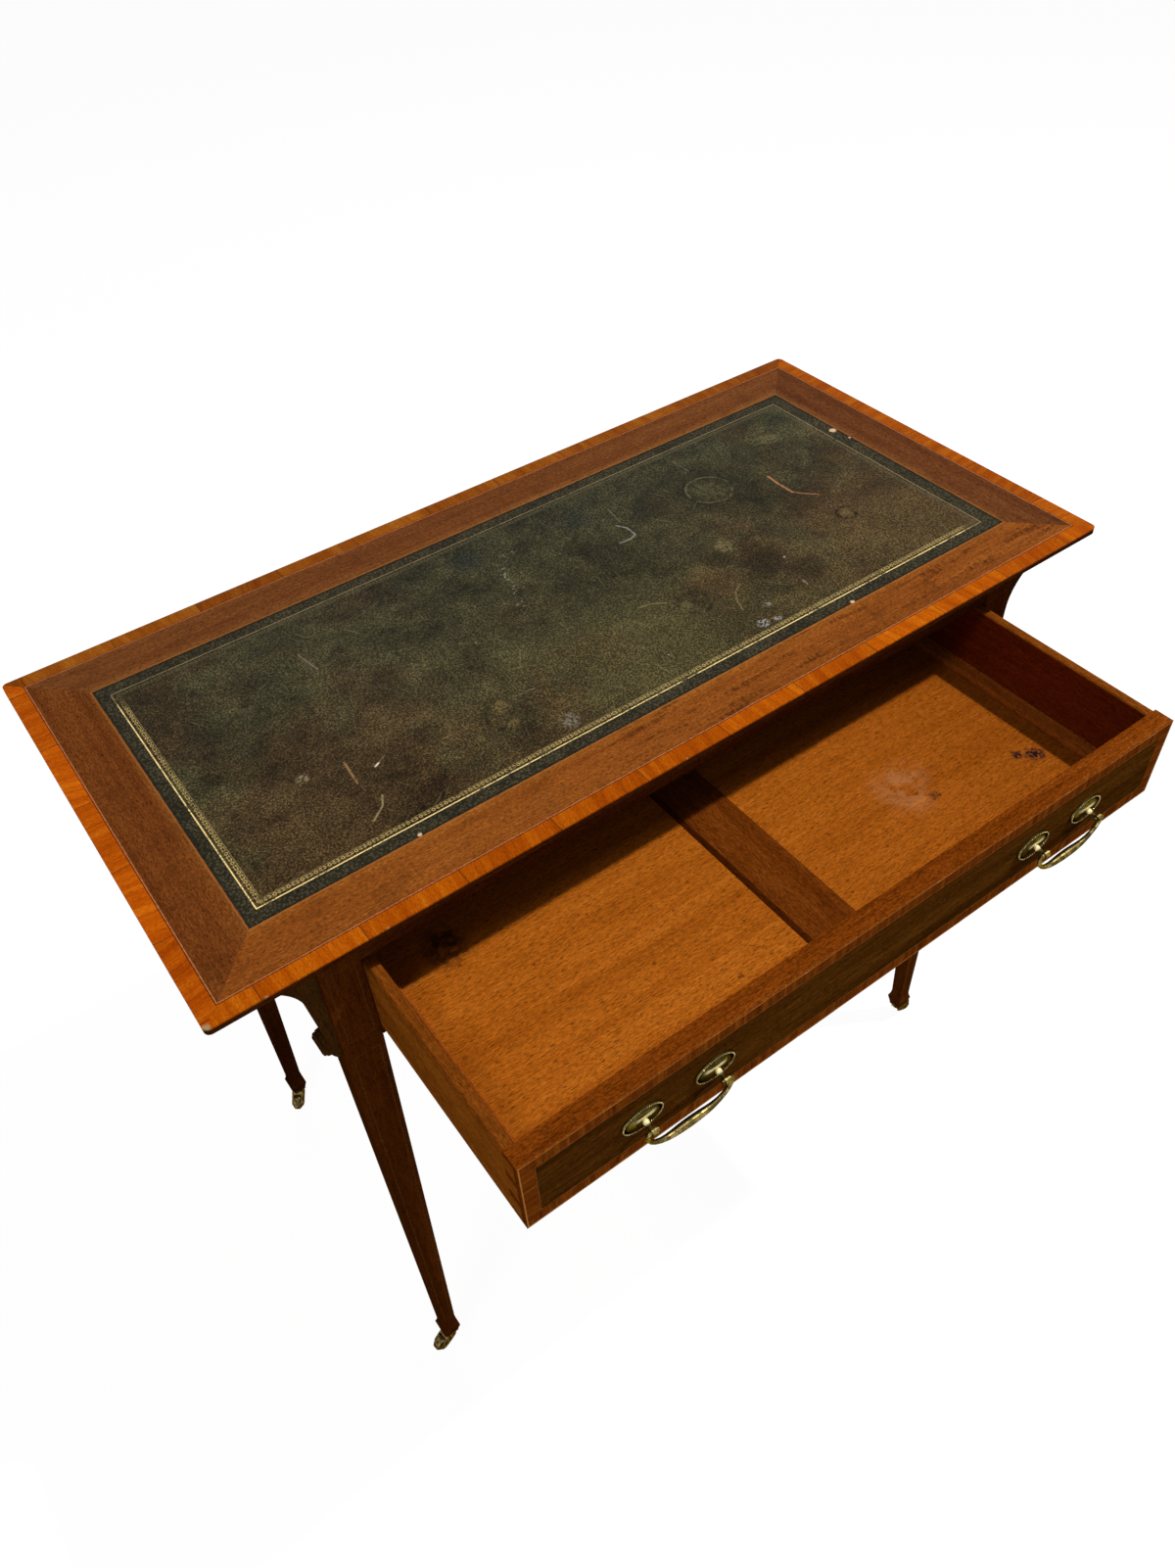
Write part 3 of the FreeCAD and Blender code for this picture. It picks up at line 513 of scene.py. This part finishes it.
def leather_marks(s, worn, grit):
    """Rings of cups, rubbed and chalky patches, scratches and a trail of dust."""
    broken = s.span(s.noise(s.at, 70.0, 4.0, 0.65), 0.42, 0.56)
    for centre, radius, width, tint, power in rings:
        mark = s.ring(on_leather(centre), radius * MM, width * MM)
        worn = s.mix(s.times(mark, s.times(broken, power)), worn, tint)
    dusty = s.span(s.noise(s.at, 420.0, 3.0, 0.65), 0.44, 0.56)
    for centre, radius, tint, power in patches:
        mark = s.spot(on_leather(centre), radius * 0.4 * MM, radius * MM, radius * 0.4 * MM, 600.0 / radius)
        worn = s.mix(s.times(mark, s.times(dusty, power)), worn, tint)
    for points, width, tint, power in strokes:
        mark = s.times(s.stroke([on_leather(p) for p in points], width * MM), power)
        worn = s.mix(s.times(mark, s.span(grit, 0.36, 0.52, 0.4, 1.0)), worn, tint)
    trail = s.stroke([on_leather(p) for p in dust_trail], dust_trail_width * MM)
    return s.mix(s.times(trail, s.span(grit, 0.56, 0.64)), worn, (0.30, 0.29, 0.22))


def leather_hairlines(s, worn, x, y):
    for turn, scale, seed in ((0.6, 16.0, 0.0), (2.1, 13.0, 5.0), (1.35, 19.0, 9.0)):
        u = s.plus(s.times(x, math.cos(turn)), s.times(y, math.sin(turn)))
        v = s.minus(s.times(y, math.cos(turn)), s.times(x, math.sin(turn)))
        bow = s.math("MULTIPLY_ADD", s.noise(s.join(s.times(u, 14.0), seed, 0.0), 1.0, 2.0), 0.02, v)
        hair = s.noise(s.join(s.times(u, scale * 1.6), s.times(bow, 700.0), seed), 1.0, 1.0)
        where = s.span(s.noise(s.join(x, y, seed), 17.0, 2.0), 0.46, 0.62)
        worn = s.mix(s.times(s.span(hair, 0.68, 0.76), s.times(where, 0.55)), worn, pale)
    return worn


def leather():
    s = Shader("worn_leather")
    x, y, _ = s.place()
    inset = s.times(s.outside(x, y, LEATHER_X, LEATHER_Y), -1.0)
    tooled = s.outside(s.minus(x, GOLD_X), s.minus(y, GOLD_Y), LEATHER_X, LEATHER_Y)
    field = s.span(tooled, -GOLD_INSET + 0.0012, -GOLD_INSET - 0.002)
    patch = s.noise(s.at, 30.0, 7.0, 0.7, 0.4)
    grit = s.noise(s.at, 230.0, 4.0, 0.7)
    worn = leather_ground(s, x, y, patch, grit)
    worn = leather_marks(s, worn, grit)
    worn = leather_hairlines(s, worn, x, y)
    pebble = s.cells(420.0)
    rim = s.ramp(pebble, (0.15, (0.076, 0.063, 0.037)), (0.6, (0.020, 0.0175, 0.010)))
    rim = s.tinted(rim, s.ramp(patch, (0.35, (0.6, 0.6, 0.6)), (0.65, (1.3, 1.3, 1.25))))
    colour = s.mix(field, rim, worn)
    colour = s.mix(s.span(inset, 0.0030, 0.0018, 0.0, 0.6), colour, (0.010, 0.009, 0.006))
    frayed = s.times(s.span(inset, 0.0010, 0.0003), s.span(s.noise(s.at, 150.0, 3.0), 0.52, 0.66))
    colour = s.mix(s.times(frayed, 0.5), colour, (0.16, 0.09, 0.04))
    for centre, radius in rim_nicks:
        nick = s.spot(on_leather(centre), radius * 0.6 * MM, radius * MM, radius * 0.4 * MM, 500.0)
        colour = s.mix(nick, colour, (0.60, 0.42, 0.27))
    height = s.plus(s.times(s.cells(620.0, "SMOOTH_F1"), 0.7), s.times(pebble, 0.5))
    normal = s.bump(patch, 0.0012, 0.25, s.bump(height, 0.0005, 0.6))
    return s.finish(colour, s.span(patch, 0.35, 0.65, 0.44, 0.62), normal, Specular_IOR_Level=0.025)


def gilt():
    """Worn gold: the outer line brighter than the pattern, both duller at the back and right."""
    s = Shader("gilt_tooling")
    x, y, _ = s.place()
    far = s.most(s.span(y, 0.12, 0.14), s.span(x, 0.355, 0.37))
    wear = s.noise(s.at, 70.0, 4.0, 0.65)
    fine = s.noise(s.at, 620.0, 2.0)
    keep = s.span(s.plus(s.times(wear, 0.55), s.times(fine, 0.45)), 0.36, 0.50)
    edge = s.outside(s.minus(x, GOLD_X), s.minus(y, GOLD_Y), LEATHER_X - GOLD_INSET, LEATHER_Y - GOLD_INSET)
    line = s.span(edge, -0.0018, -0.0012)
    leaf = s.mix(line, (0.42, 0.31, 0.115), (0.90, 0.68, 0.28))
    leaf = s.mix(far, leaf, s.mix(line, (0.085, 0.070, 0.038), (0.22, 0.165, 0.075)))
    colour = s.mix(keep, (0.075, 0.055, 0.020), leaf)
    return s.finish(colour, s.blend(keep, 0.6, 0.42), Specular_IOR_Level=0.05)


# Drawer woods: place, inner and outer radius in metres, strength and colour of each stain on the bottom
ink, blot, bruise = (0.010, 0.007, 0.012), (0.06, 0.012, 0.003), (0.62, 0.34, 0.16)
panel_stains = (
    ((0.281, -0.326, PANEL_Z), 0.006, 0.011, 1.0, ink),
    ((0.268, -0.318, PANEL_Z), 0.003, 0.0065, 0.95, ink),
    ((0.1735, -0.307, PANEL_Z), 0.003, 0.0075, 0.9, (0.05, 0.012, 0.004)),
    ((-0.2597, -0.178, PANEL_Z), 0.008, 0.026, 0.85, (0.03, 0.009, 0.004)),
    ((-0.213, -0.238, PANEL_Z), 0.0010, 0.0024, 0.8, blot),
    ((-0.136, -0.297, PANEL_Z), 0.0011, 0.0028, 0.8, blot),
    ((-0.091, -0.265, PANEL_Z), 0.0008, 0.0020, 0.8, blot),
    ((-0.052, -0.309, PANEL_Z), 0.0008, 0.0020, 0.8, blot),
    ((-0.261, -0.203, PANEL_Z), 0.0009, 0.0022, 0.8, blot),
    ((-0.090, -0.348, PANEL_Z), 0.0014, 0.0036, 0.8, blot),
    ((0.160, -0.280, PANEL_Z), 0.004, 0.042, 0.20, bruise),
)


def drawer_wood(name, axis, *shades, stains=(), **grain):
    s = Shader(name)
    colour, pores, normal = wood_colour(s, grain_space(s, axis), shades, wander=0.004, **grain)
    for centre, inner, outer, power, tint in stains:
        patch = s.spot(centre, inner, outer, outer * 0.7, 0.9 / outer)
        patch = s.times(patch, s.span(s.noise(s.at, 3.2 / outer, 4.0, 0.65), 0.36, 0.56))
        colour = s.mix(s.times(patch, power), colour, tint)
    grime = s.span(s.noise(s.at, 15.0, 5.0, 0.65), 0.52, 0.75, 0.0, 0.3)
    return s, s.mix(grime, colour, shades[0]), pores, normal


def finish_drawer(s, colour, pores, normal):
    return s.finish(colour, s.math("MULTIPLY_ADD", pores, 0.1, 0.5), normal, Specular_IOR_Level=0.0)


def panel_boards():
    """The drawer's bottom, a little duller towards the right."""
    s, colour, pores, normal = drawer_wood(
        "drawer_panel", "x", (0.26, 0.062, 0.004), (0.365, 0.096, 0.007), (0.46, 0.135, 0.013),
        stains=panel_stains, streak=60.0, fibre_share=0.5, fleck=0.28, pore_depth=0.75, fibre=650.0,
        pore=1150.0,
    )
    left_to_right = s.span(s.place()[0], -PANEL_X, PANEL_X, smooth=False)
    tone = s.ramp(
        left_to_right, (0.0, (1.12, 1.12, 1.1)), (0.5, (1.0, 1.0, 1.0)), (0.75, (0.94, 0.93, 1.0)),
        (1.0, (0.76, 0.74, 0.8)),
    )
    return finish_drawer(s, s.tinted(colour, tone), pores, normal)


def muntin():
    """The drawer's middle bar, with painted shade along its left chamfer, the side turned away from the lamp.
    """
    s, colour, pores, normal = drawer_wood(
        "drawer_muntin", "y", (0.070, 0.015, 0.001), (0.128, 0.029, 0.003), (0.195, 0.050, 0.006),
    )
    # Painted shade: a dark band on the left chamfer, where the raised bar is in its own shadow.
    darkening = s.span(s.place()[0], -0.0222, -0.0232, 0.0, 0.35)
    return finish_drawer(s, s.mix(darkening, colour, (0.012, 0.003, 0.001)), pores, normal)


def lining():
    """Drawer sides: warm edges, painted light on the outside face, and painted shade that darkens and reddens
    the inner face.
    """
    s, colour, pores, normal = drawer_wood(
        "drawer_lining", "y", (0.12, 0.030, 0.003), (0.20, 0.052, 0.005), (0.29, 0.085, 0.010),
    )
    away = s.size(s.place()[0])
    inner_face = FRONT_X - SIDE_WIDTH
    inner = s.span(away, inner_face + 0.0007, inner_face + 0.0002)
    outer = s.span(away, FRONT_X - 0.0008, FRONT_X - 0.0001)
    # Painted shade: the inner face darker and redder.
    colour = s.tinted(colour, s.mix(inner, (1.0, 1.0, 1.0), (0.75, 0.4, 0.5)))
    # Painted light: the outer face lighter.
    colour = s.tinted(colour, s.mix(outer, (1.0, 1.0, 1.0), (1.68, 1.8, 1.65)))
    return finish_drawer(s, colour, pores, normal)


def drawer_band():
    s = Shader("drawer_crossband")
    x, _, z = s.place()
    end = s.math("GREATER_THAN", s.past(x, FRONT_X), s.past(s.minus(z, FRONT_MID), FRONT_HALF))
    along = s.blend(end, x, z)
    over = s.blend(end, z, x)
    shades = ((0.085, 0.016, 0.001), (0.190, 0.043, 0.004), (0.34, 0.095, 0.010))
    colour, pores, normal = wood_colour(s, s.join(over, along, 0.0), shades, streak=150.0, wander=0.002,
                                        fibre_share=0.3, pore_depth=0.3, fleck=0.2, fibre=500.0, pore=1000.0)
    return s.finish(colour, s.math("MULTIPLY_ADD", pores, 0.1, 0.42), normal, Specular_IOR_Level=0.0)


# Metals
def plate_highlight_and_shade(s):
    """Painted highlight on the upper half of each oval plate; dirt in the groove inside its beads, and
    painted shade on the lower half.
    """
    x, _, z = s.place()
    away = s.past(s.past(x, HANDLE_X), POST_HALF)
    rise = s.minus(z, HANDLE_Z)
    reach = s.vector("LENGTH", s.join(s.math("DIVIDE", away, ROSE_X), 0.0, s.math("DIVIDE", rise, ROSE_Z)))
    level = s.span(s.size(s.minus(rise, 0.0040)), 0.0006, 0.0026, 1.0, 0.0)
    # Painted highlight: a pale crescent on the upper part of the dome.
    painted_highlight = s.times(level, s.span(s.size(s.plus(away, 0.001)), 0.004, 0.0115, 1.0, 0.0))
    groove = s.times(s.span(reach, 0.70, 0.84), s.span(reach, 0.91, 0.95, 1.0, 0.0))
    # The second value holds the dirt in the groove and painted shade below the middle of the plate.
    return painted_highlight, s.most(groove, s.span(rise, 0.001, -0.006, 0.0, 0.6))


def post_highlight(s):
    """Painted highlight on the upper side of each post's collar, and no dirt."""
    _, y, z = s.place()
    # Painted highlight on the collar's upper side.
    collar = s.span(y, FACE_Y - 0.0088, FACE_Y - 0.0072)
    return s.times(collar, s.span(z, HANDLE_Z - 0.001, HANDLE_Z + 0.0008)), None


def brass(name, clean, tarnish, rough, scale=140.0, painted_light=None):
    s = Shader(name)
    spots = s.noise(s.at, scale, 5.0, 0.65)
    fine = s.noise(s.at, scale * 6, 3.0, 0.6)
    old = s.span(s.plus(s.times(spots, 0.65), s.times(fine, 0.35)), 0.40, 0.56)
    colour = s.mix(old, clean, tarnish)
    metal = 1.0
    if painted_light:
        painted_highlight, darkening = painted_light(s)
        # Darkening: dirt in each plate's groove, and painted shade on its lower half.
        if darkening is not None:
            colour = s.mix(darkening, colour, tuple(c * 0.3 for c in tarnish))
        # Painted highlight: pale gold, made less metallic so that the lamps light it.
        painted_highlight = s.times(painted_highlight, s.span(fine, 0.3, 0.6, 0.75, 1.0))
        colour = s.mix(painted_highlight, colour, (0.92, 0.80, 0.42))
        metal = s.blend(painted_highlight, 1.0, 0.3)
    tint = tuple(c ** 0.6 for c in clean)
    gloss = s.blend(old, rough, rough + 0.2)
    return s.finish(colour, gloss, s.bump(fine, 0.00006, 0.3), Metallic=metal, Specular_Tint=tint)


def iron():
    s = Shader("plain_iron")
    rusty = s.noise(s.at, 400.0, 4.0, 0.6)
    colour = s.ramp(rusty, (0.4, (0.18, 0.17, 0.16)), (0.65, (0.16, 0.07, 0.03)))
    return s.finish(colour, s.span(rusty, 0.3, 0.7, 0.4, 0.7), s.bump(rusty, 0.0001, 0.5), Metallic=0.8)


# Which finish each node has
rail_shades = ((0.034, 0.008, 0.001), (0.070, 0.018, 0.003), (0.115, 0.034, 0.006))
leg_wood = wood("leg_mahogany", "z", (0.050, 0.011, 0.001), (0.095, 0.022, 0.002), (0.145, 0.038, 0.005))
# Painted shade: the back legs get a darker copy of the leg wood, as they stand in the top's shadow.
shaded_back_leg_wood = wood("back_leg_mahogany_shaded", "z", (0.028, 0.006, 0.001), (0.056, 0.013, 0.002),
                     (0.088, 0.023, 0.004))
rail_wood = wood("rail_mahogany", "x", *rail_shades)
end_wood = wood("end_mahogany", "y", *rail_shades)
edge_wood = wood("edge_mahogany", "x", (0.022, 0.005, 0.001), (0.048, 0.012, 0.002), (0.080, 0.022, 0.005))
carve_wood = wood("bracket_mahogany", "z", (0.040, 0.014, 0.002), (0.082, 0.031, 0.006),
                  (0.125, 0.050, 0.012))
carcase = wood("carcase_pine", "y", (0.14, 0.065, 0.025), (0.27, 0.14, 0.06), (0.40, 0.23, 0.11), rough=0.6,
               pore_depth=0.2)
front_wood = wood("front_mahogany", "x", (0.095, 0.019, 0.001), (0.182, 0.040, 0.003), (0.265, 0.068, 0.007),
                  fleck=0.45)
field_wood = wood("front_field", "x", (0.042, 0.014, 0.001), (0.088, 0.029, 0.003), (0.150, 0.054, 0.007),
                  streak=70.0)
panel_wood = panel_boards()
muntin_wood = muntin()
slip_wood = finish_drawer(*drawer_wood(
    "drawer_slip", "y", (0.18, 0.041, 0.004), (0.30, 0.070, 0.008), (0.41, 0.106, 0.014),
))
lining_wood = lining()
back_wood = finish_drawer(*drawer_wood(
    "drawer_back", "x", (0.11, 0.03, 0.005), (0.20, 0.058, 0.010), (0.30, 0.10, 0.02),
))
clean_brass, old_brass = (0.33, 0.243, 0.084), (0.070, 0.050, 0.015)
handle_brass = brass("handle_brass", clean_brass, old_brass, 0.22)
plate_brass = brass("plate_brass", (0.15, 0.112, 0.030), (0.055, 0.040, 0.010), 0.22, painted_light=plate_highlight_and_shade)
post_brass = brass("post_brass", clean_brass, old_brass, 0.22, painted_light=post_highlight)
bead_brass = brass("bead_brass", (0.54, 0.43, 0.20), (0.16, 0.120, 0.043), 0.26, 200.0)
castor_brass = brass("castor_brass", (0.23, 0.160, 0.058), (0.034, 0.023, 0.008), 0.30, 260.0)

finishes = {
    "top_panel": edge_wood,
    "top_crossband": satinwood_band(),
    "top_stringing": line_inlay(),
    "top_border": border_veneer(),
    "leather_skiver": leather(),
    "top_screws": iron(),
    "back_cleat": carcase,
    "drawer_stops": carcase,
    "front_rail_upper": rail_wood,
    "front_rail_lower": rail_wood,
    "back_rail": rail_wood,
    "drawer_front": front_wood,
    "drawer_front_field": field_wood,
    "drawer_front_crossband": drawer_band(),
    "drawer_back": back_wood,
    "drawer_muntin": muntin_wood,
    "handle_roses": plate_brass,
    "handle_posts": post_brass,
    "handle_nuts": handle_brass,
}
for side in SIDES:
    finishes["end_rail_" + side] = end_wood
    finishes["drawer_runner_" + side] = carcase
    finishes["drawer_kicker_" + side] = carcase
    finishes["drawer_side_" + side] = lining_wood
    finishes["drawer_slip_" + side] = slip_wood
    finishes["drawer_bottom_" + side] = panel_wood
    finishes["handle_bail_" + side] = handle_brass
for corner in CORNERS:
    finishes["leg_" + corner] = leg_wood if "front" in corner else shaded_back_leg_wood
    finishes["bracket_" + corner] = carve_wood
    for kind in ("plate", "fork", "axle", "wheel"):
        finishes["castor_%s_%s" % (kind, corner)] = castor_brass

# Width of the rounded edges, in millimetres
arrises = {
    "top_panel": 0.6,
    "drawer_front": 0.7,
    "drawer_back": 0.8,
    "drawer_muntin": 0.8,
    "front_rail_lower": 0.8,
    "front_rail_upper": 0.5,
}
for side in SIDES:
    arrises["drawer_side_" + side] = 0.6
for corner in CORNERS:
    arrises["leg_" + corner] = 0.5
    arrises["bracket_" + corner] = 0.8
    arrises["castor_plate_" + corner] = 0.3
    arrises["castor_fork_" + corner] = 0.4
WELD_REACH = 0.00001
ARRIS_ANGLE, CREASE_ANGLE = math.radians(38), math.radians(35)

for name, node in nodes.items():
    node.data.materials.clear()
    node.data.materials.append(finishes[name])
    weld = node.modifiers.new("weld", "WELD")
    weld.merge_threshold = WELD_REACH
    if name in arrises:
        bevel = node.modifiers.new("arris", "BEVEL")
        bevel.width = arrises[name] * MM
        bevel.segments = 2
        bevel.limit_method = "ANGLE"
        bevel.angle_limit = ARRIS_ANGLE
    split = node.modifiers.new("creases", "EDGE_SPLIT")
    split.split_angle = CREASE_ANGLE
    split.use_edge_sharp = False
    even = node.modifiers.new("flat_faces", "WEIGHTED_NORMAL")
    even.keep_sharp = True
    node.data.polygons.foreach_set("use_smooth", [True] * len(node.data.polygons))


# Thin trim: inlaid lines, gilt tooling and beaded rims
def add_piece(mesh, material, body):
    mesh.materials.append(material)
    made = bpy.data.objects.new(mesh.name, mesh)
    scene.collection.objects.link(made)
    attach(made, body)


def add_trim(name, vertices, faces, material, body):
    mesh = bpy.data.meshes.new(name)
    mesh.from_pydata([tuple(v) for v in vertices], [], faces)
    mesh.validate()
    add_piece(mesh, material, body)


def inner_ring(corners, width, normal):
    """The corners of a loop moved inwards by a line's width."""
    result = []
    for here, point in enumerate(corners):
        before, after = corners[here - 1], corners[(here + 1) % len(corners)]
        in_first = normal.cross((point - before).normalized())
        in_last = normal.cross((after - point).normalized())
        result.append(point + (in_first + in_last) * (width / (1 + in_first.dot(in_last))))
    return result


def line_loop(vertices, faces, corners, width, normal, lift):
    """Adds a closed inlaid line whose outer edge follows the corners, anticlockwise seen from outside."""
    outer = [Vector(c) + normal * lift for c in corners]
    inner = inner_ring(outer, width, normal)
    sunk = [v - normal * (lift + LINE_SINK) for v in outer + inner]
    base = len(vertices)
    count = len(outer)
    vertices.extend(outer + inner + sunk)
    for a in range(count):
        b = (a + 1) % count
        faces.append((base + a, base + b, base + count + b, base + count + a))
        faces.append((base + 2 * count + a, base + 2 * count + b, base + b, base + a))
        faces.append((base + count + a, base + count + b, base + 3 * count + b, base + 3 * count + a))


def leg_outlines():
    """Corners of the two lines on a face of a leg: the way in from its outer edge, and the height."""
    def width_at(height):
        return LEG_WIDTH - (LEG_WIDTH - ANKLE_WIDTH) / (BLOCK_Z - ANKLE_Z) * (BLOCK_Z - height)

    block_far = LEG_WIDTH - BLOCK_LINE_IN
    block = (
        (BLOCK_LINE_IN, BLOCK_LINE_TOP), (block_far, BLOCK_LINE_TOP),
        (block_far, BLOCK_LINE_FOOT), (BLOCK_LINE_IN, BLOCK_LINE_FOOT),
    )
    shaft = (
        (LEG_LINE_TOP_IN, LEG_LINE_TOP), (width_at(LEG_LINE_TOP) - LEG_LINE_TOP_IN, LEG_LINE_TOP),
        (width_at(LEG_LINE_FOOT) - LEG_LINE_FOOT_IN, LEG_LINE_FOOT), (LEG_LINE_FOOT_IN, LEG_LINE_FOOT),
    )
    return block, shaft


def leg_lines():
    """Lines on the two outer faces of each leg."""
    vertices, faces = [], []
    for sx in (-1, 1):
        for sy in (-1, 1):
            for normal in (Vector((0, sy, 0)), Vector((sx, 0, 0))):
                in_x, in_y = abs(normal.y), abs(normal.x)
                for outline in leg_outlines():
                    corners = [
                        Vector((sx * (LEG_OUT - inward * in_x), sy * (LEG_FRONT - inward * in_y), height))
                        for inward, height in outline
                    ]
                    if (corners[1] - corners[0]).cross(corners[2] - corners[1]).dot(normal) < 0:
                        corners.reverse()
                    line_loop(vertices, faces, corners, LINE_WIDTH, normal, LINE_LIFT)
    add_trim("leg_stringing", vertices, faces, leg_line(), "table")


def drawer_lines():
    vertices, faces = [], []
    for inset, width in DRAWER_LINES:
        x, low, high = FRONT_X - inset, FRONT_Z0 + inset, FRONT_Z1 - inset
        corners = [Vector((u, FACE_Y, z)) for u, z in ((-x, low), (x, low), (x, high), (-x, high))]
        line_loop(vertices, faces, corners, width, Vector((0, -1, 0)), LINE_LIFT)
    add_trim("drawer_stringing", vertices, faces, drawer_line(), "drawer")


def tooling():
    vertices, faces = [], []
    up = Vector((0, 0, 1))
    half_x, half_y = LEATHER_X - GOLD_INSET, LEATHER_Y - GOLD_INSET
    middle = Vector((GOLD_X, GOLD_Y, LEATHER_Z))

    def gold_line(inset, width):
        x, y = half_x - inset, half_y - inset
        corners = [middle + Vector((u, v, 0)) for u, v in ((-x, -y), (x, -y), (x, y), (-x, y))]
        line_loop(vertices, faces, corners, width, up, GOLD_LIFT)

    def flat(points):
        base = len(vertices)
        vertices.extend(points)
        faces.append(tuple(range(base, base + len(points))))

    def motif(origin, along, inward):
        def at(u, v):
            return origin + along * u + inward * v + up * GOLD_LIFT

        def on_ring(radius, number):
            turn = 2 * math.pi * number / MOTIF_RING_STEPS
            return at(radius * math.cos(turn), radius * math.sin(turn))

        inner, outer = MOTIF_RING
        for a in range(MOTIF_RING_STEPS):
            b = a + 1
            flat([on_ring(inner, a), on_ring(outer, a), on_ring(outer, b), on_ring(inner, b)])
        for side in (-1, 1):
            for leaf in MOTIF_LEAVES:
                flat([at(u, side * v) for u, v in leaf])

    gold_line(0.0, LINE_WIDTH)
    x_way, y_way = Vector((1, 0, 0)), Vector((0, 1, 0))
    for sign in (-1, 1):
        for length, other, along, inward in ((half_x, half_y, x_way, y_way), (half_y, half_x, y_way, x_way)):
            run = 2 * (length - MOTIF_INSET)
            count = round(run / MOTIF_STEP)
            step = run / count
            for number in range(count):
                u = -length + MOTIF_INSET + step * (number + MOTIF_START_SHARE)
                centre = middle + along * u - inward * sign * (other - MOTIF_INSET)
                motif(centre, along * (step / MOTIF_STEP), inward * sign)
    gold_line(INNER_GOLD_INSET, INNER_GOLD_WIDTH)
    add_trim("gilt_tooling", vertices, faces, gilt(), "table")


def rose_beads():
    bm = bmesh.new()
    for rose in (-HANDLE_X - POST_HALF, -HANDLE_X + POST_HALF, HANDLE_X - POST_HALF, HANDLE_X + POST_HALF):
        for number in range(BEAD_COUNT):
            turn = 2 * math.pi * number / BEAD_COUNT
            x, z = rose + BEAD_X * math.cos(turn), HANDLE_Z + BEAD_Z * math.sin(turn)
            place = Matrix.Translation((x, FACE_Y - BEAD_RISE, z))
            bmesh.ops.create_icosphere(bm, subdivisions=1, radius=BEAD_RADIUS, matrix=place)
    mesh = bpy.data.meshes.new("rose_pearl_rims")
    bm.to_mesh(mesh)
    bm.free()
    mesh.polygons.foreach_set("use_smooth", [True] * len(mesh.polygons))
    add_piece(mesh, bead_brass, "drawer")


leg_lines()
drawer_lines()
tooling()
rose_beads()


# Stage: pale floor and surroundings, one small lamp overhead with soft fills, the photograph's camera
FLOOR_REACH = 30.0
FLOOR_WHITE, WORLD_WHITE = 0.94, 0.92


def shown(n):
    """1 for rays from the camera and for those that metal and glass send on, else 0."""
    seen = n.node("ShaderNodeLightPath").outputs
    return n.most(seen["Is Camera Ray"], n.most(seen["Is Glossy Ray"], seen["Is Transmission Ray"]))


def floor():
    mesh = bpy.data.meshes.new("floor")
    r = FLOOR_REACH
    mesh.from_pydata([(-r, -r, 0), (r, -r, 0), (r, r, 0), (-r, r, 0)], [], [(0, 1, 2, 3)])
    s = Shader("pale_floor")
    s.finish((0.12, 0.12, 0.12), 0.9, Specular_IOR_Level=0.0, Emission_Color=(1.0, 1.0, 1.0),
             Emission_Strength=s.times(shown(s), FLOOR_WHITE))
    mesh.materials.append(s.mat)
    made = bpy.data.objects.new("floor", mesh)
    scene.collection.objects.link(made)


def sky():
    world = bpy.data.worlds.new("studio")
    scene.world = world
    world.use_nodes = True
    n = Nodes(world.node_tree)
    out = n.node("ShaderNodeOutputWorld")
    back = n.node("ShaderNodeBackground")
    height = n.split(n.node("ShaderNodeTexCoord").outputs["Generated"])[2]
    light = n.ramp(height, (0.0, (0.36, 0.36, 0.36)), (0.7, (0.16, 0.16, 0.16)))
    n.put(back.inputs["Color"], n.mix(shown(n), light, (WORLD_WHITE, WORLD_WHITE, WORLD_WHITE)))
    n.put(out.inputs[0], back.outputs[0])


def lamp(name, place, aim, size, power, tint):
    light = bpy.data.lights.new(name, "AREA")
    light.shape = "RECTANGLE"
    light.size, light.size_y = size
    light.energy = power
    light.color = tint
    made = bpy.data.objects.new(name, light)
    made.location = place
    made.rotation_mode = "QUATERNION"
    made.rotation_quaternion = (Vector(aim) - Vector(place)).to_track_quat("-Z", "Y")
    scene.collection.objects.link(made)


floor()
sky()
fill_size, fill_tint = (1.6, 0.8), (1.0, 0.98, 0.95)
lamp("overhead", (1.843, -1.063, 4.0), (0.0, -0.12, 0.7), (0.13, 0.13), 134, (1.0, 0.99, 0.96))
lamp("soft_fill", (-1.2, -0.72, 2.6), (0.0, -0.1, 0.7), (0.45, 0.45), 10, (1.0, 0.99, 0.97))
lamp("low_fill", (-1.2, -2.4, 0.45), (-0.1, -0.25, 0.5), fill_size, 11, fill_tint)
lamp("right_fill", (2.5, 0.2, 0.5), (0.3, 0.0, 0.5), fill_size, 20, fill_tint)
lamp("back_fill", (0.5, 2.6, 0.5), (0.0, 0.2, 0.5), fill_size, 34, fill_tint)
lamp("left_fill", (-2.6, 0.6, 0.5), (-0.3, 0.0, 0.5), fill_size, 2, fill_tint)

# Camera solved from the photograph: its place, and the ways that point right, up and back
CAMERA_PLACE = (-0.48089, -0.74675, 1.45589)
CAMERA_RIGHT = (0.80942411, -0.58532202, -0.0472308)
CAMERA_UP = (0.4487234, 0.56463028, 0.69270481)
CAMERA_BACK = (-0.37878743, -0.58188554, 0.71967305)
camera_data = bpy.data.cameras.new("camera")
camera_data.sensor_width = 36.0
camera_data.lens = 27.753
camera_data.clip_start = 0.01
camera_data.clip_end = 100.0
camera = bpy.data.objects.new("camera", camera_data)
turn = Matrix((CAMERA_RIGHT, CAMERA_UP, CAMERA_BACK)).transposed().to_4x4()
camera.matrix_world = Matrix.Translation(CAMERA_PLACE) @ turn
scene.collection.objects.link(camera)
scene.camera = camera
